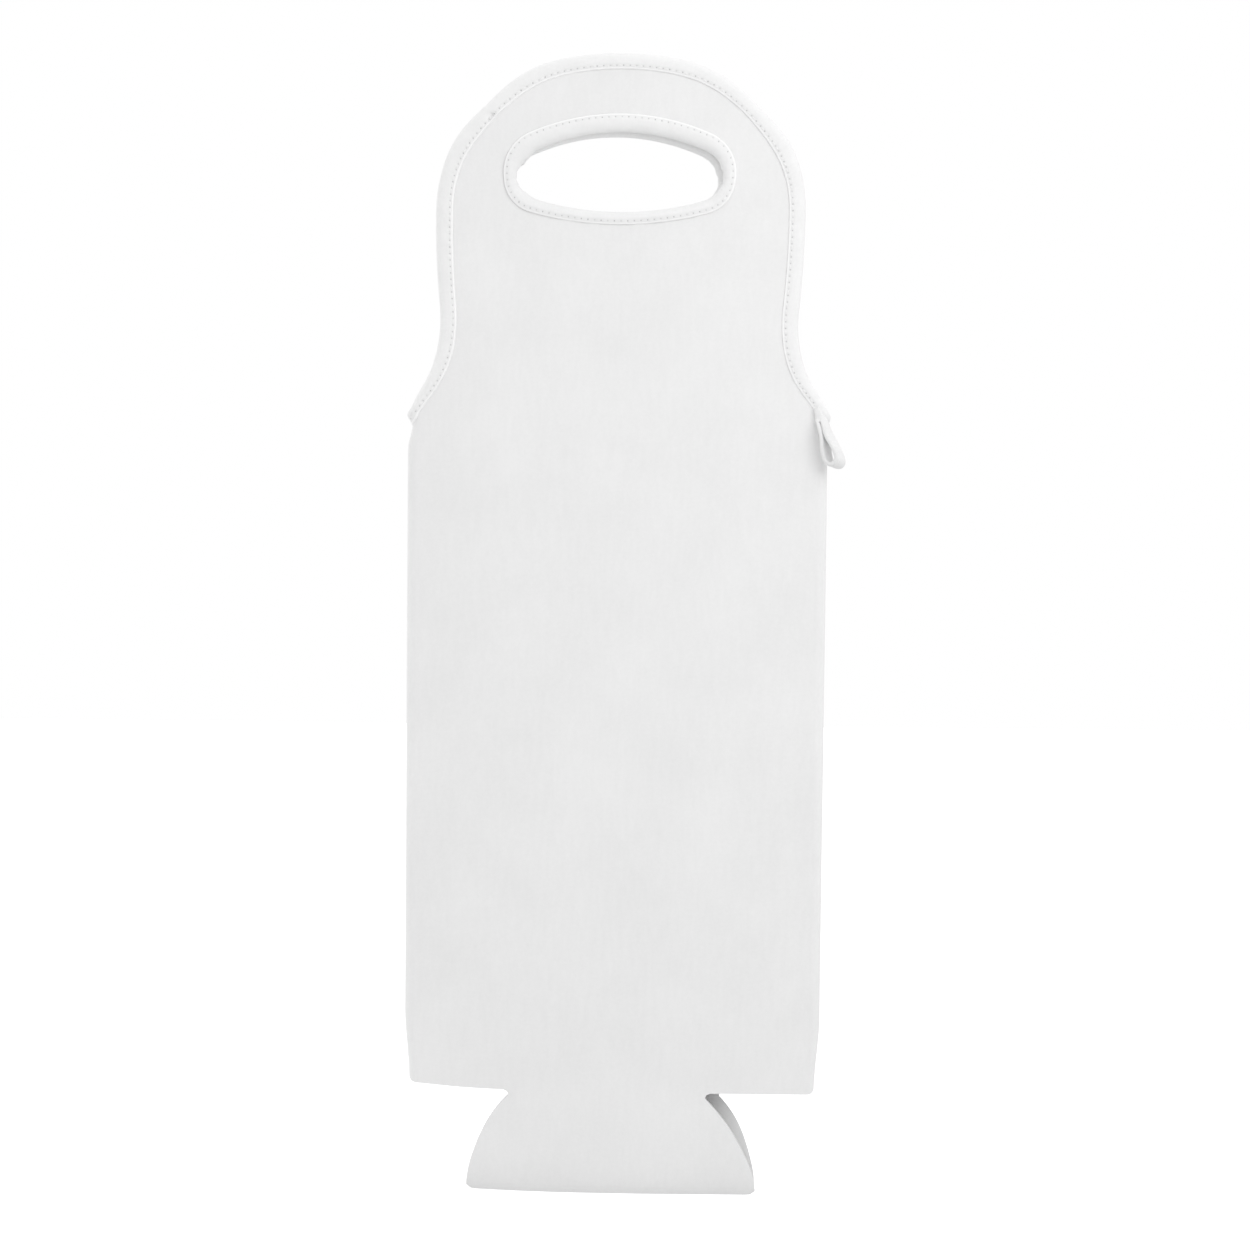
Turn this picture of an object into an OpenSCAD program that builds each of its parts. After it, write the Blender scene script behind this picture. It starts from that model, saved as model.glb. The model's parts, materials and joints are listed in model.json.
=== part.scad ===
// Soft foam carrier for one bottle, lying flat and empty: a sleeve with a disc for a base,
// and a tall handle half on each wall. Front is -Y, up is +Z, and the origin is the centre
// of the hand hole. All lengths are in millimetres.

/* [Foam sheet] */
// Thickness of the foam sheet with its knit faces
sheet_t = 3; // [2:0.5:4]
// Room between the two walls when the empty carrier lies flat
layer_gap = 5; // [4.5:0.5:8]

/* [Sleeve] */
// Width of the sleeve lying flat
sleeve_w = 140; // [132:1:170]
// Height of the side seams
sleeve_h = 227; // [150:1:300]
// Rounding of the two bottom corners
sleeve_corner_r = 3; // [1:0.5:8]
// Width of the edges turned in at each side seam
seam_w = 4.5; // [3:0.5:8]
// Width of the crease along each side seam
crease_w = 0.9; // [0.7:0.1:1.5]
// Depth of the crease along each side seam
crease_d = 0.65; // [0.6:0.05:1.2]

/* [Base] */
// Radius of the round base when it is opened out
base_r = 48.2; // [42:0.2:54]
// Width of each neck that joins the base to a wall
neck_w = 69.4; // [56:0.2:76]
// Height of the neck that bends when the base swings
neck_flex_h = 5.9; // [5.6:0.1:9]
// Outer radius of the fold across the base
fold_r = 3.4; // [3.2:0.1:4.5]

/* [Handle] */
// How far in from the sleeve's side the handle's widest line lies
handle_inset = 8.5; // [6:0.5:12]
// How far each side of the handle draws in at the waist
waist_cut = 1.8; // [1:0.1:4]
// Height from the waist up to the widest line
bow_rise = 38; // [28:1:50]
// How much lower the crown is than a half circle over the handle's width
crown_flat = 9.5; // [6:0.5:14]
// Radius of the crown's arc
crown_r = 106.6; // [90:0.2:140]
// Radius of the flare from the waist out to the sleeve
flare_r = 48; // [36:1:60]

/* [Hand hole] */
// Clear width of the hand hole
grip_w = 68.6; // [56:0.2:80]
// Clear height of the hand hole
grip_h = 26.8; // [20:0.2:32]
// Radius of the hand hole's ends
grip_end_r = 9; // [6:0.5:9.5]
// Height of the crown above the centre of the hand hole
grip_drop = 39.5; // [34:0.5:46]

/* [Binding tape] */
// Thickness of one layer of the folded tape
tape_t = 0.8; // [0.5:0.1:1.2]
// Width of the tape along the handle's edge
edge_tape_w = 5.3; // [4:0.1:7]
// Width of the tape round the hand hole
grip_tape_w = 5.2; // [4:0.1:7]
// Rounding of the tape's folded nose
tape_nose_r = 1.5; // [0.8:0.1:1.7]
// Slack between the tape and what it wraps
tape_ease = 0.05; // [0.02:0.01:0.1]
// Height of the tape's tail on each top corner of the sleeve
tail_h = 3.8; // [2:0.1:6]
// How deep the tail is sewn down into the foam
tail_sink = 0.3; // [0.1:0.05:0.5]

/* [Thread] */
// Width of a row of stitches
thread_w = 0.5; // [0.3:0.05:0.6]
// Height of a row of stitches above the tape
thread_h = 0.25; // [0.1:0.05:0.4]
// Distance from the tape's inner edge to its row of stitches
thread_inset = 0.9; // [0.6:0.1:1.6]
// Length of the backtack where the edge tape is joined
backtack_l = 2; // [1:0.1:4]
// Width of the backtack where the edge tape is joined
backtack_w = 1.2; // [0.6:0.1:2]
// Where the backtack lies, as an angle round the left shoulder in degrees
backtack_angle = 53; // [10:1:70]

/* [Side loop] */
// Length of the loop from its root to its end
loop_l = 18.5; // [12:0.5:30]
// Width over the loop's two strands at its round end
loop_w = 6; // [5:0.1:9]
// Thickness of the loop's doubled tape
loop_t = 1.5; // [1:0.1:1.8]
// Length of the root where the two strands lie together
loop_root_l = 3.5; // [2:0.5:6]
// Lean of the loop away from the vertical, in degrees
loop_lean = 18.5; // [5:0.5:30]
// Turn of the loop about its own length, in degrees
loop_turn = 25; // [0:1:40]
// Gap between the loop's root and the bartack that holds it
loop_ease = 0.3; // [0.1:0.05:0.5]
// Distance from the sleeve's side in to the loop's root
loop_inset = 2.6; // [1:0.1:5]
// Height of the bartack across the loop's root
bartack_h = 1.6; // [0.8:0.1:2.5]
// Thickness of the bartack
bartack_t = 0.5; // [0.3:0.1:0.8]

/* [Hidden] */
$fn = 96;

foam_colour = "whitesmoke";
tape_colour = "white";
thread_colour = "gainsboro";
half_turn = 180;
right_angle = 90;
// One overrun serves every cut
overrun = 1;

// Heights above the fold of the base
base_drop = sqrt(base_r * base_r - neck_w * neck_w / 4);
disc_top = base_drop - neck_flex_h;
corner_y = base_drop + sleeve_h;
handle_w = sleeve_w - 2 * handle_inset;
arch_rise = handle_w / 2 - crown_flat;
waist_x = handle_w / 2 - waist_cut;
flare_x = waist_x + flare_r;
flare_drop = sqrt(flare_r * flare_r - pow(flare_x - sleeve_w / 2, 2));
waist_y = corner_y + flare_drop;
bow_y = waist_y + bow_rise;
crown_y = bow_y + arch_rise;
grip_y = crown_y - grip_drop;

// The handle's outline is a crown arc, shoulder arcs, long bow arcs and the flares, all tangent
bow_r = (bow_rise * bow_rise + waist_cut * waist_cut) / (2 * waist_cut) - flare_r;
bow_x = handle_w / 2 - bow_r;
bow_angle = asin(bow_rise / (bow_r + flare_r));
bow_foot_y = bow_y - bow_r * sin(bow_angle);
flare_angle = asin(flare_drop / flare_r);
shoulder_r = (2 * crown_r * arch_rise - arch_rise * arch_rise - handle_w * handle_w / 4)
    / (2 * crown_r - handle_w);
shoulder_x = handle_w / 2 - shoulder_r;
crown_centre_y = crown_y - crown_r;
arch_angle = atan2(bow_y - crown_centre_y, shoulder_x);

// The hand hole is an oval of two end arcs and two long arcs, all tangent
grip_end_x = grip_w / 2 - grip_end_r;
grip_arc_r = (grip_w * grip_w / 4 - grip_w * grip_end_r + grip_h * grip_h / 4)
    / (grip_h - 2 * grip_end_r);
grip_arc_drop = grip_arc_r - grip_h / 2;
grip_angle = atan2(grip_arc_drop, grip_end_x);

// Straight steps that each arc is drawn in
crown_steps = 2;
shoulder_steps = 12;
bow_steps = 3;
flare_steps = 6;
grip_steps = 10;
nose_steps = 3;
loop_steps = 10;

wall_y = layer_gap / 2 + sheet_t;
tail_y = wall_y + tape_t - tail_sink;
crease_thread_r = crease_d / 2 - tape_ease;
// Where the two rows of stitches start, on the inner and the outer leg of a tape
thread_depths = [-tape_t - thread_h, sheet_t + tape_t];
loop_y = tail_y + bartack_t + loop_ease
    + loop_t * sin(loop_turn) + (edge_tape_w / 2) * cos(loop_turn);
loop_root_z = corner_y - loop_t;

// Placing

module above_fold() {
    translate([0, 0, -grip_y]) children();
}

// Plan of a wall: x across, y up from the fold, z outward from the wall's inner face
module front_wall() {
    above_fold() translate([0, -layer_gap / 2, 0]) rotate([right_angle, 0, 0]) children();
}

module back_wall() {
    mirror([0, 1, 0]) front_wall() children();
}

module both_sides() {
    children();
    mirror([1, 0, 0]) children();
}

// Flat shapes

function on_arc(r, angle) = [r * cos(angle), r * sin(angle)];

module pie(r, from, to) {
    reach = 2 * r;
    intersection() {
        circle(r);
        polygon([
            [0, 0], on_arc(reach, from), on_arc(reach, (2 * from + to) / 3),
            on_arc(reach, (from + 2 * to) / 3), on_arc(reach, to)
        ]);
    }
}

// Stations along an arc, after its first: each a point and the way out of the sheet there
function stations(centre, r, from, to, steps, out) = [
    for (i = [1:steps]) let (way = on_arc(1, from + (to - from) * i / steps))
        [centre + r * way, out * way]
];

// Right edge of the handle, from above the sleeve's corner up to the crown
right_edge = concat(
    stations([flare_x, waist_y], flare_r, half_turn + flare_angle,
        half_turn - bow_angle, flare_steps, -1),
    stations([bow_x, bow_y], bow_r, -bow_angle, 0, bow_steps, 1),
    stations([shoulder_x, bow_y], shoulder_r, 0, arch_angle, shoulder_steps, 1),
    stations([0, crown_centre_y], crown_r, arch_angle, right_angle, crown_steps, 1)
);

// The same edge drawn in, starting where it meets the sleeve
function right_line(inset) = concat(
    [[flare_x - sqrt(pow(flare_r + inset, 2) - pow(flare_drop, 2)), corner_y]],
    [for (s = right_edge) s[0] - inset * s[1]]
);

// Outline of a handle half from its right foot over the crown to its left foot
function edge_line(inset) = let (right = right_line(inset)) concat(
    right, [for (i = [len(right) - 2:-1:0]) [-right[i].x, right[i].y]]
);

// Edge of the hand hole, clockwise, grown outward
function grip_line(grow) = [
    for (s = concat(
        stations([0, grip_arc_drop], grip_arc_r, -grip_angle, grip_angle - half_turn, grip_steps, 1),
        stations([-grip_end_x, 0], grip_end_r, half_turn + grip_angle, half_turn - grip_angle,
            grip_steps, 1),
        stations([0, -grip_arc_drop], grip_arc_r, half_turn - grip_angle, grip_angle, grip_steps, 1),
        stations([grip_end_x, 0], grip_end_r, grip_angle, -grip_angle, grip_steps, 1)
    )) s[0] + grow * s[1] + [0, grip_y]
];

// Cut through one wall, seen from above: square at the back, rounded at the outer corners
module wall_section(grow) {
    side_x = sleeve_w / 2 - sheet_t;
    translate([-side_x, 0]) square([2 * side_x, sheet_t + grow]);
    both_sides() translate([side_x, 0]) pie(sheet_t + grow, 0, right_angle);
}

// Cut through a folded tape: distance in from its nose, then depth, round the closed outline
function tape_section(w) = let (low = tape_nose_r - tape_t, high = sheet_t + tape_t - tape_nose_r)
    concat(
        [[w, -tape_t]],
        [for (i = [0:nose_steps]) [tape_nose_r, low]
            - on_arc(tape_nose_r, right_angle - right_angle * i / nose_steps)],
        [for (i = [0:nose_steps]) [tape_nose_r, high]
            + on_arc(tape_nose_r, half_turn - right_angle * i / nose_steps)],
        [
            [w, sheet_t + tape_t], [w, sheet_t + tape_ease], [tape_t - tape_ease, sheet_t + tape_ease],
            [tape_t - tape_ease, -tape_ease], [w, -tape_ease]
        ]
    );

// Cut through one row of stitches lying on a leg of the tape, from a depth up
function thread_section(w, depth) = let (far = w - thread_inset, near = far - thread_w) [
    [far, depth], [near, depth], [near, depth + thread_h], [far, depth + thread_h]
];

// Faces that close the cut end of a tape, as corners of its section: two legs, nose and web
tape_end = let (inner_high = 2 * nose_steps + 5, inner_low = inner_high + 1) [
    [0, 1, inner_low, inner_low + 1],
    for (i = [1:nose_steps]) [i, i + 1, inner_low],
    [nose_steps + 1, nose_steps + 2, inner_high, inner_low],
    for (i = [nose_steps + 2:2 * nose_steps + 1]) [i, i + 1, inner_high],
    [inner_high - 3, inner_high - 2, inner_high - 1, inner_high]
];
thread_end = [[0, 1, 2, 3]];

// Solid between the lines that a section's corners draw, closed in a ring where it has no ends
module swept(lines, depths, end = []) {
    n = len(lines);
    count = len(lines[0]);
    points = [for (j = [0:n - 1]) for (p = lines[j]) [p.x, p.y, depths[j]]];
    sides = [
        for (j = [0:n - 1]) for (k = [0:count - (end == [] ? 1 : 2)])
            let (a = j * count, b = ((j + 1) % n) * count, next = (k + 1) % count)
                each [[a + k, b + k, b + next], [a + k, b + next, a + next]]
    ];
    first_end = [for (f = end) [for (i = [len(f) - 1:-1:0]) f[i] * count]];
    last_end = [for (f = end) [for (i = f) (i + 1) * count - 1]];
    polyhedron(points, concat(sides, first_end, last_end));
}

module edge_sweep(section, end) {
    swept([for (s = section) edge_line(s.x)], [for (s = section) s.y], end);
}

module grip_sweep(section) {
    swept([for (s = section) grip_line(s.x)], [for (s = section) s.y]);
}

// Sleeve

// Seen from above, both walls of the closed sleeve and the seams between them
module closed_section(grow) {
    for (flip = [0, 1]) mirror([0, flip]) {
        translate([-sleeve_w / 2 - grow, 0]) square([sleeve_w + 2 * grow, layer_gap / 2]);
        translate([0, layer_gap / 2]) wall_section(grow);
    }
}

// A layer round the right top corner of the sleeve, cut off along the flare of the edge tape
module corner_layer(inner, outer, low, reach_out) {
    reach = wall_y + tape_t + overrun;
    above_fold() intersection() {
        translate([0, 0, corner_y - tail_h - low]) linear_extrude(tail_h + low) difference() {
            closed_section(outer);
            closed_section(inner);
        }
        translate([flare_x, 0, waist_y]) rotate([right_angle, 0, 0])
            cylinder(r = flare_r + edge_tape_w + reach_out, h = 2 * reach, center = true);
    }
}

// The foam that gives way where the tape's tails are sewn down
module tail_beds() {
    both_sides() corner_layer(-tail_sink, overrun, tape_ease, tape_ease);
}

module bottom_corner_cuts() {
    reach = layer_gap / 2 + sheet_t + overrun;
    above_fold() both_sides() translate([sleeve_w / 2 - sleeve_corner_r, 0, base_drop])
        difference() {
            translate([0, -reach, -overrun])
                cube([sleeve_corner_r + overrun, 2 * reach, sleeve_corner_r + overrun]);
            translate([0, 0, sleeve_corner_r]) rotate([right_angle, 0, 0])
                cylinder(r = sleeve_corner_r, h = 4 * reach, center = true);
        }
}

module sleeve_wall() {
    translate([0, corner_y, 0]) rotate([right_angle, 0, 0])
        linear_extrude(sleeve_h) wall_section(0);
}

module front_sleeve_panel() {
    color(foam_colour) difference() {
        front_wall() sleeve_wall();
        bottom_corner_cuts();
        tail_beds();
    }
}

module back_sleeve_panel() {
    color(foam_colour) difference() {
        back_wall() sleeve_wall();
        bottom_corner_cuts();
        tail_beds();
    }
}

// The walls' side edges, turned in between the walls and sewn, with the crease that shows
module side_seam() {
    above_fold() translate([0, 0, base_drop]) linear_extrude(sleeve_h) difference() {
        translate([sleeve_w / 2 - seam_w, -layer_gap / 2]) square([seam_w, layer_gap]);
        translate([sleeve_w / 2 - crease_d, -crease_w / 2])
            square([crease_d + overrun, crease_w]);
    }
}

module right_side_seam() {
    color(foam_colour) difference() {
        side_seam();
        bottom_corner_cuts();
        tail_beds();
    }
}

module left_side_seam() {
    mirror([1, 0, 0]) right_side_seam();
}

// The row of stitches that lies in a side seam's crease
module right_seam_thread() {
    color(thread_colour) above_fold()
        translate([sleeve_w / 2 - crease_d / 2, 0, base_drop + sleeve_corner_r])
            cylinder(r = crease_thread_r, h = sleeve_h - sleeve_corner_r - tail_h);
}

module left_seam_thread() {
    mirror([1, 0, 0]) right_seam_thread();
}

// The edge tape's tail, sewn down over the top of a side seam and cut along the flare
module right_corner_tape() {
    color(tape_colour) corner_layer(tape_ease - tail_sink, tape_t - tail_sink, 0, 0);
}

module left_corner_tape() {
    mirror([1, 0, 0]) right_corner_tape();
}

// Base

// Side view of the base, folded double: y across, z up from the fold
module fold_section(inset) {
    top = layer_gap / 2 + sheet_t - inset;
    nose_r = fold_r - inset;
    translate([0, fold_r]) circle(nose_r);
    polygon([[-nose_r, fold_r], [nose_r, fold_r], [top, base_drop], [-top, base_drop]]);
}

// The round base folded across its middle, between two heights above the fold
module folded_base(low, high) {
    above_fold() intersection() {
        rotate([right_angle, 0, right_angle]) linear_extrude(2 * base_r, center = true)
            difference() {
                fold_section(0);
                fold_section(sheet_t);
            }
        rotate([right_angle, 0, 0]) cylinder(r = base_r, h = 2 * base_r, center = true);
        translate([-base_r, -base_r, low]) cube([2 * base_r, 2 * base_r, high - low]);
    }
}

module base_disc() {
    color(foam_colour) folded_base(0, disc_top);
}

module front_base_neck() {
    color(foam_colour) intersection() {
        folded_base(disc_top, base_drop);
        above_fold() translate([-base_r, -base_r, 0]) cube([2 * base_r, base_r, corner_y]);
    }
}

module back_base_neck() {
    mirror([0, 1, 0]) front_base_neck();
}

// Handle halves

module handle_panel() {
    linear_extrude(sheet_t) difference() {
        polygon(edge_line(tape_t));
        polygon(grip_line(tape_t));
    }
}

module front_handle_panel() {
    color(foam_colour) front_wall() handle_panel();
}

module back_handle_panel() {
    color(foam_colour) back_wall() handle_panel();
}

module front_edge_binding() {
    color(tape_colour) front_wall() edge_sweep(tape_section(edge_tape_w), tape_end);
}

module back_edge_binding() {
    color(tape_colour) back_wall() edge_sweep(tape_section(edge_tape_w), tape_end);
}

module front_grip_binding() {
    color(tape_colour) front_wall() grip_sweep(tape_section(grip_tape_w));
}

module back_grip_binding() {
    color(tape_colour) back_wall() grip_sweep(tape_section(grip_tape_w));
}

module front_edge_thread() {
    color(thread_colour) front_wall() for (depth = thread_depths)
        edge_sweep(thread_section(edge_tape_w, depth), thread_end);
}

module back_edge_thread() {
    color(thread_colour) back_wall() for (depth = thread_depths)
        edge_sweep(thread_section(edge_tape_w, depth), thread_end);
}

module front_grip_thread() {
    color(thread_colour) front_wall() for (depth = thread_depths)
        grip_sweep(thread_section(grip_tape_w, depth));
}

module back_grip_thread() {
    color(thread_colour) back_wall() for (depth = thread_depths)
        grip_sweep(thread_section(grip_tape_w, depth));
}

// Dense stitches that join the edge tape's two ends, on the left shoulder
module front_tape_backtack() {
    color(thread_colour) front_wall() translate([-shoulder_x, bow_y, sheet_t + tape_t])
        rotate([0, 0, half_turn - backtack_angle])
            translate([shoulder_r - (edge_tape_w - thread_inset) / 2, 0])
                linear_extrude(thread_h) square([backtack_w, backtack_l], center = true);
}

// Side loop

// The loop laid flat, hanging down from its root, drawn in by inset on every edge
module loop_outline(inset, top) {
    end = [0, loop_w / 2 - loop_l];
    end_r = loop_w / 2 - inset;
    root = max(loop_t - inset, 0);
    polygon(concat(
        root > 0 ? [[root, top], [-root, top]] : [[0, top]],
        [for (i = [0:loop_steps]) end + on_arc(end_r, half_turn + half_turn * i / loop_steps)]
    ));
}

module at_loop() {
    above_fold() translate([sleeve_w / 2 - loop_inset, -loop_y, loop_root_z])
        rotate([0, -loop_lean, 0]) rotate([right_angle, 0, loop_turn]) children();
}

module side_loop() {
    color(tape_colour) at_loop() linear_extrude(edge_tape_w, center = true) difference() {
        loop_outline(0, 0);
        loop_outline(loop_t, -loop_root_l);
    }
}

// Zigzag stitches across the corner tape, holding the loop's root
module loop_bartack() {
    w = 2 * loop_t;
    color(thread_colour) above_fold()
        translate([
            sleeve_w / 2 - loop_inset - w / 2,
            -tail_y - bartack_t,
            loop_root_z - bartack_h
        ])
            cube([w, bartack_t, bartack_h]);
}

front_sleeve_panel();
back_sleeve_panel();
left_side_seam();
right_side_seam();
left_seam_thread();
right_seam_thread();
left_corner_tape();
right_corner_tape();
front_base_neck();
back_base_neck();
base_disc();
front_handle_panel();
front_edge_binding();
front_edge_thread();
front_grip_binding();
front_grip_thread();
front_tape_backtack();
back_handle_panel();
back_edge_binding();
back_edge_thread();
back_grip_binding();
back_grip_thread();
side_loop();
loop_bartack();
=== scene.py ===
import json
import logging
import math
from bisect import bisect_right
from dataclasses import dataclass
from enum import Enum
from functools import lru_cache, partial
from typing import Callable, Sequence

import bmesh
import bpy
from bmesh.types import BMesh
from bpy.types import Material, Node, NodeSocket, NodeTree, Object
from mathutils import Matrix, Vector, kdtree, noise


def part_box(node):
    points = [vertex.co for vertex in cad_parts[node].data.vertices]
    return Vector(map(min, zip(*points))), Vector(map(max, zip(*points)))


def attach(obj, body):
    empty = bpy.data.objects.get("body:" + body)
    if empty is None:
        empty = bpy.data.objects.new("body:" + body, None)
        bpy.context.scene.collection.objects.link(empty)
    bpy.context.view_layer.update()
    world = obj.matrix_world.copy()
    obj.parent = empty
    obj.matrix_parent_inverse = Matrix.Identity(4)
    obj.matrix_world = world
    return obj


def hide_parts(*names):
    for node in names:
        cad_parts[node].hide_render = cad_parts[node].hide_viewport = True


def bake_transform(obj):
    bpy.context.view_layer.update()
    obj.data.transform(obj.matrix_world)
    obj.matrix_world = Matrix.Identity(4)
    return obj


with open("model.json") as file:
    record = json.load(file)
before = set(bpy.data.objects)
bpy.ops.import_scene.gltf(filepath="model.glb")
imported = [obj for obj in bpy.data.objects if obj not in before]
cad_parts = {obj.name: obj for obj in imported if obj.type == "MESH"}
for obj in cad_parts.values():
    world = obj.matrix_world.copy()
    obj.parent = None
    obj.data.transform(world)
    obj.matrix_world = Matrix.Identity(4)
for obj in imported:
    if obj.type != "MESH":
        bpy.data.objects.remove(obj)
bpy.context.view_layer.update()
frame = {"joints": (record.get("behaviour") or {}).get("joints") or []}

# A soft foam carrier for one bottle, lying flat and empty. Every length is in metres, in the
# frame of the CAD model: front is -Y, up is +Z, the origin is the centre of the hand hole.

MM = 0.001
Pair = tuple[float, float]
Triple = tuple[float, float, float]
log = logging.getLogger("bottle_carrier")


class Named(Enum):
    """A choice whose members give pieces of the carrier their names."""

    @property
    def word(self) -> str:
        """The member's name as the pieces of the carrier use it."""
        return self.name.lower()


class Side(Named):
    """The two layers of the flat carrier, as the sign of Y that each lies on."""

    FRONT = -1
    BACK = 1


class Hand(Named):
    """The two sides of the carrier, seen from the front, as the sign of X."""

    LEFT = -1
    RIGHT = 1


def ease(low: float, high: float, value: float) -> float:
    """Return the smooth step of value.

    Args:
        low: Where the step starts, at 0. It may be above high.
        high: Where the step ends, at 1.
        value: The place along the step.

    Returns:
        A share from 0 to 1.
    """
    share = min(max((value - low) / (high - low), 0.0), 1.0)
    return share * share * (3.0 - 2.0 * share)


def bell(value: float, centre: float, width: float) -> float:
    """Return a soft hump of height 1 at centre, about two widths across."""
    return math.exp(-(((value - centre) / width) ** 2))


# Sizes of the carrier


@dataclass(frozen=True)
class Layout:
    """Places of the carrier's main lines, read from the CAD nodes at rest.

    Attributes:
        half_width: Half the width of the flat sleeve.
        outer: Distance of a wall's outer face from the middle plane.
        sheet: Thickness of the foam sheet.
        bottom: Height of the sleeve's bottom edge.
        corner: Height of the sleeve's top corners, where the handles start to bend.
        crown: Height of the handle's crown.
        fold: Height of the fold across the base.
        base_r: Radius of the base opened out.
        base_hinge: Height of the line on which the base swings.
        grip_half_w: Half the clear width of the hand hole.
        grip_half_h: Half the clear height of the hand hole.
    """

    half_width: float
    outer: float
    sheet: float
    bottom: float
    corner: float
    crown: float
    fold: float
    base_r: float
    base_hinge: float
    grip_half_w: float
    grip_half_h: float

    @classmethod
    def from_frame(cls, grip_tape_w: float) -> "Layout":
        """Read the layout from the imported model.

        Args:
            grip_tape_w: Width of the tape round the hand hole in the CAD model.

        Returns:
            The layout of the carrier at rest.
        """
        low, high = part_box("front_sleeve_panel")
        disc_low, disc_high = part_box("base_disc")
        grip_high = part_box("front_grip_binding")[1]
        return cls(
            half_width=high.x,
            outer=-low.y,
            sheet=high.y - low.y,
            bottom=low.z,
            corner=high.z,
            crown=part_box("front_edge_binding")[1].z,
            fold=disc_low.z,
            base_r=disc_high.x,
            base_hinge=disc_high.z,
            grip_half_w=grip_high.x - grip_tape_w,
            grip_half_h=grip_high.z - grip_tape_w,
        )


@dataclass(frozen=True)
class Arc:
    """One arc of an outline drawn in the plane of the sheet.

    Attributes:
        centre: Centre of the arc, as x and z.
        radius: Radius of the arc.
        start: Angle at which the arc starts, in radians.
        stop: Angle at which the arc stops.
        bulge: 1 where the foam lies inside the arc, -1 where it lies outside.
    """

    centre: Pair
    radius: float
    start: float
    stop: float
    bulge: int = 1

    @property
    def length(self) -> float:
        """Length of the arc."""
        return abs(self.stop - self.start) * self.radius

    def at(self, run: float) -> tuple[Vector, Vector]:
        """Find a point of the arc.

        Args:
            run: Length along the arc.

        Returns:
            The point, and the way out of the foam there.
        """
        angle = self.start + (self.stop - self.start) * run / self.length
        way = Vector((math.cos(angle), math.sin(angle)))
        return Vector(self.centre) + self.radius * way, self.bulge * way


class Outline:
    """An edge of the foam, made of arcs that meet smoothly."""

    def __init__(self, arcs: Sequence[Arc], step: float = 0.4 * MM) -> None:
        """Join the arcs and index points along them.

        Args:
            arcs: The arcs in the order in which the edge runs.
            step: Distance between the indexed points.
        """
        self.arcs = list(arcs)
        self.length = sum(arc.length for arc in self.arcs)
        count = int(self.length / step)
        self.stations = [self.at(self.length * i / count) for i in range(count + 1)]
        self.tree = kdtree.KDTree(len(self.stations))
        for i, (point, _) in enumerate(self.stations):
            self.tree.insert(point.to_3d(), i)
        self.tree.balance()

    @lru_cache(maxsize=8192)
    def at(self, run: float) -> tuple[Vector, Vector]:
        """Find a point of the edge.

        Args:
            run: Length along the whole edge.

        Returns:
            The point, and the way out of the foam there.
        """
        left = min(max(run, 0.0), self.length)
        for arc in self.arcs:
            if left <= arc.length:
                return arc.at(left)
            left -= arc.length
        return self.arcs[-1].at(self.arcs[-1].length)

    def inset(self, point: Vector) -> tuple[float, Vector, Vector]:
        """Measure a point against the edge.

        Args:
            point: A point in the plane of the sheet, as x and z.

        Returns:
            How far inside the foam the point lies, and the nearest station with its way out.
        """
        _, index, _ = self.tree.find(point.to_3d())
        near, out = self.stations[index]
        return (near - point).dot(out), near, out


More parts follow.
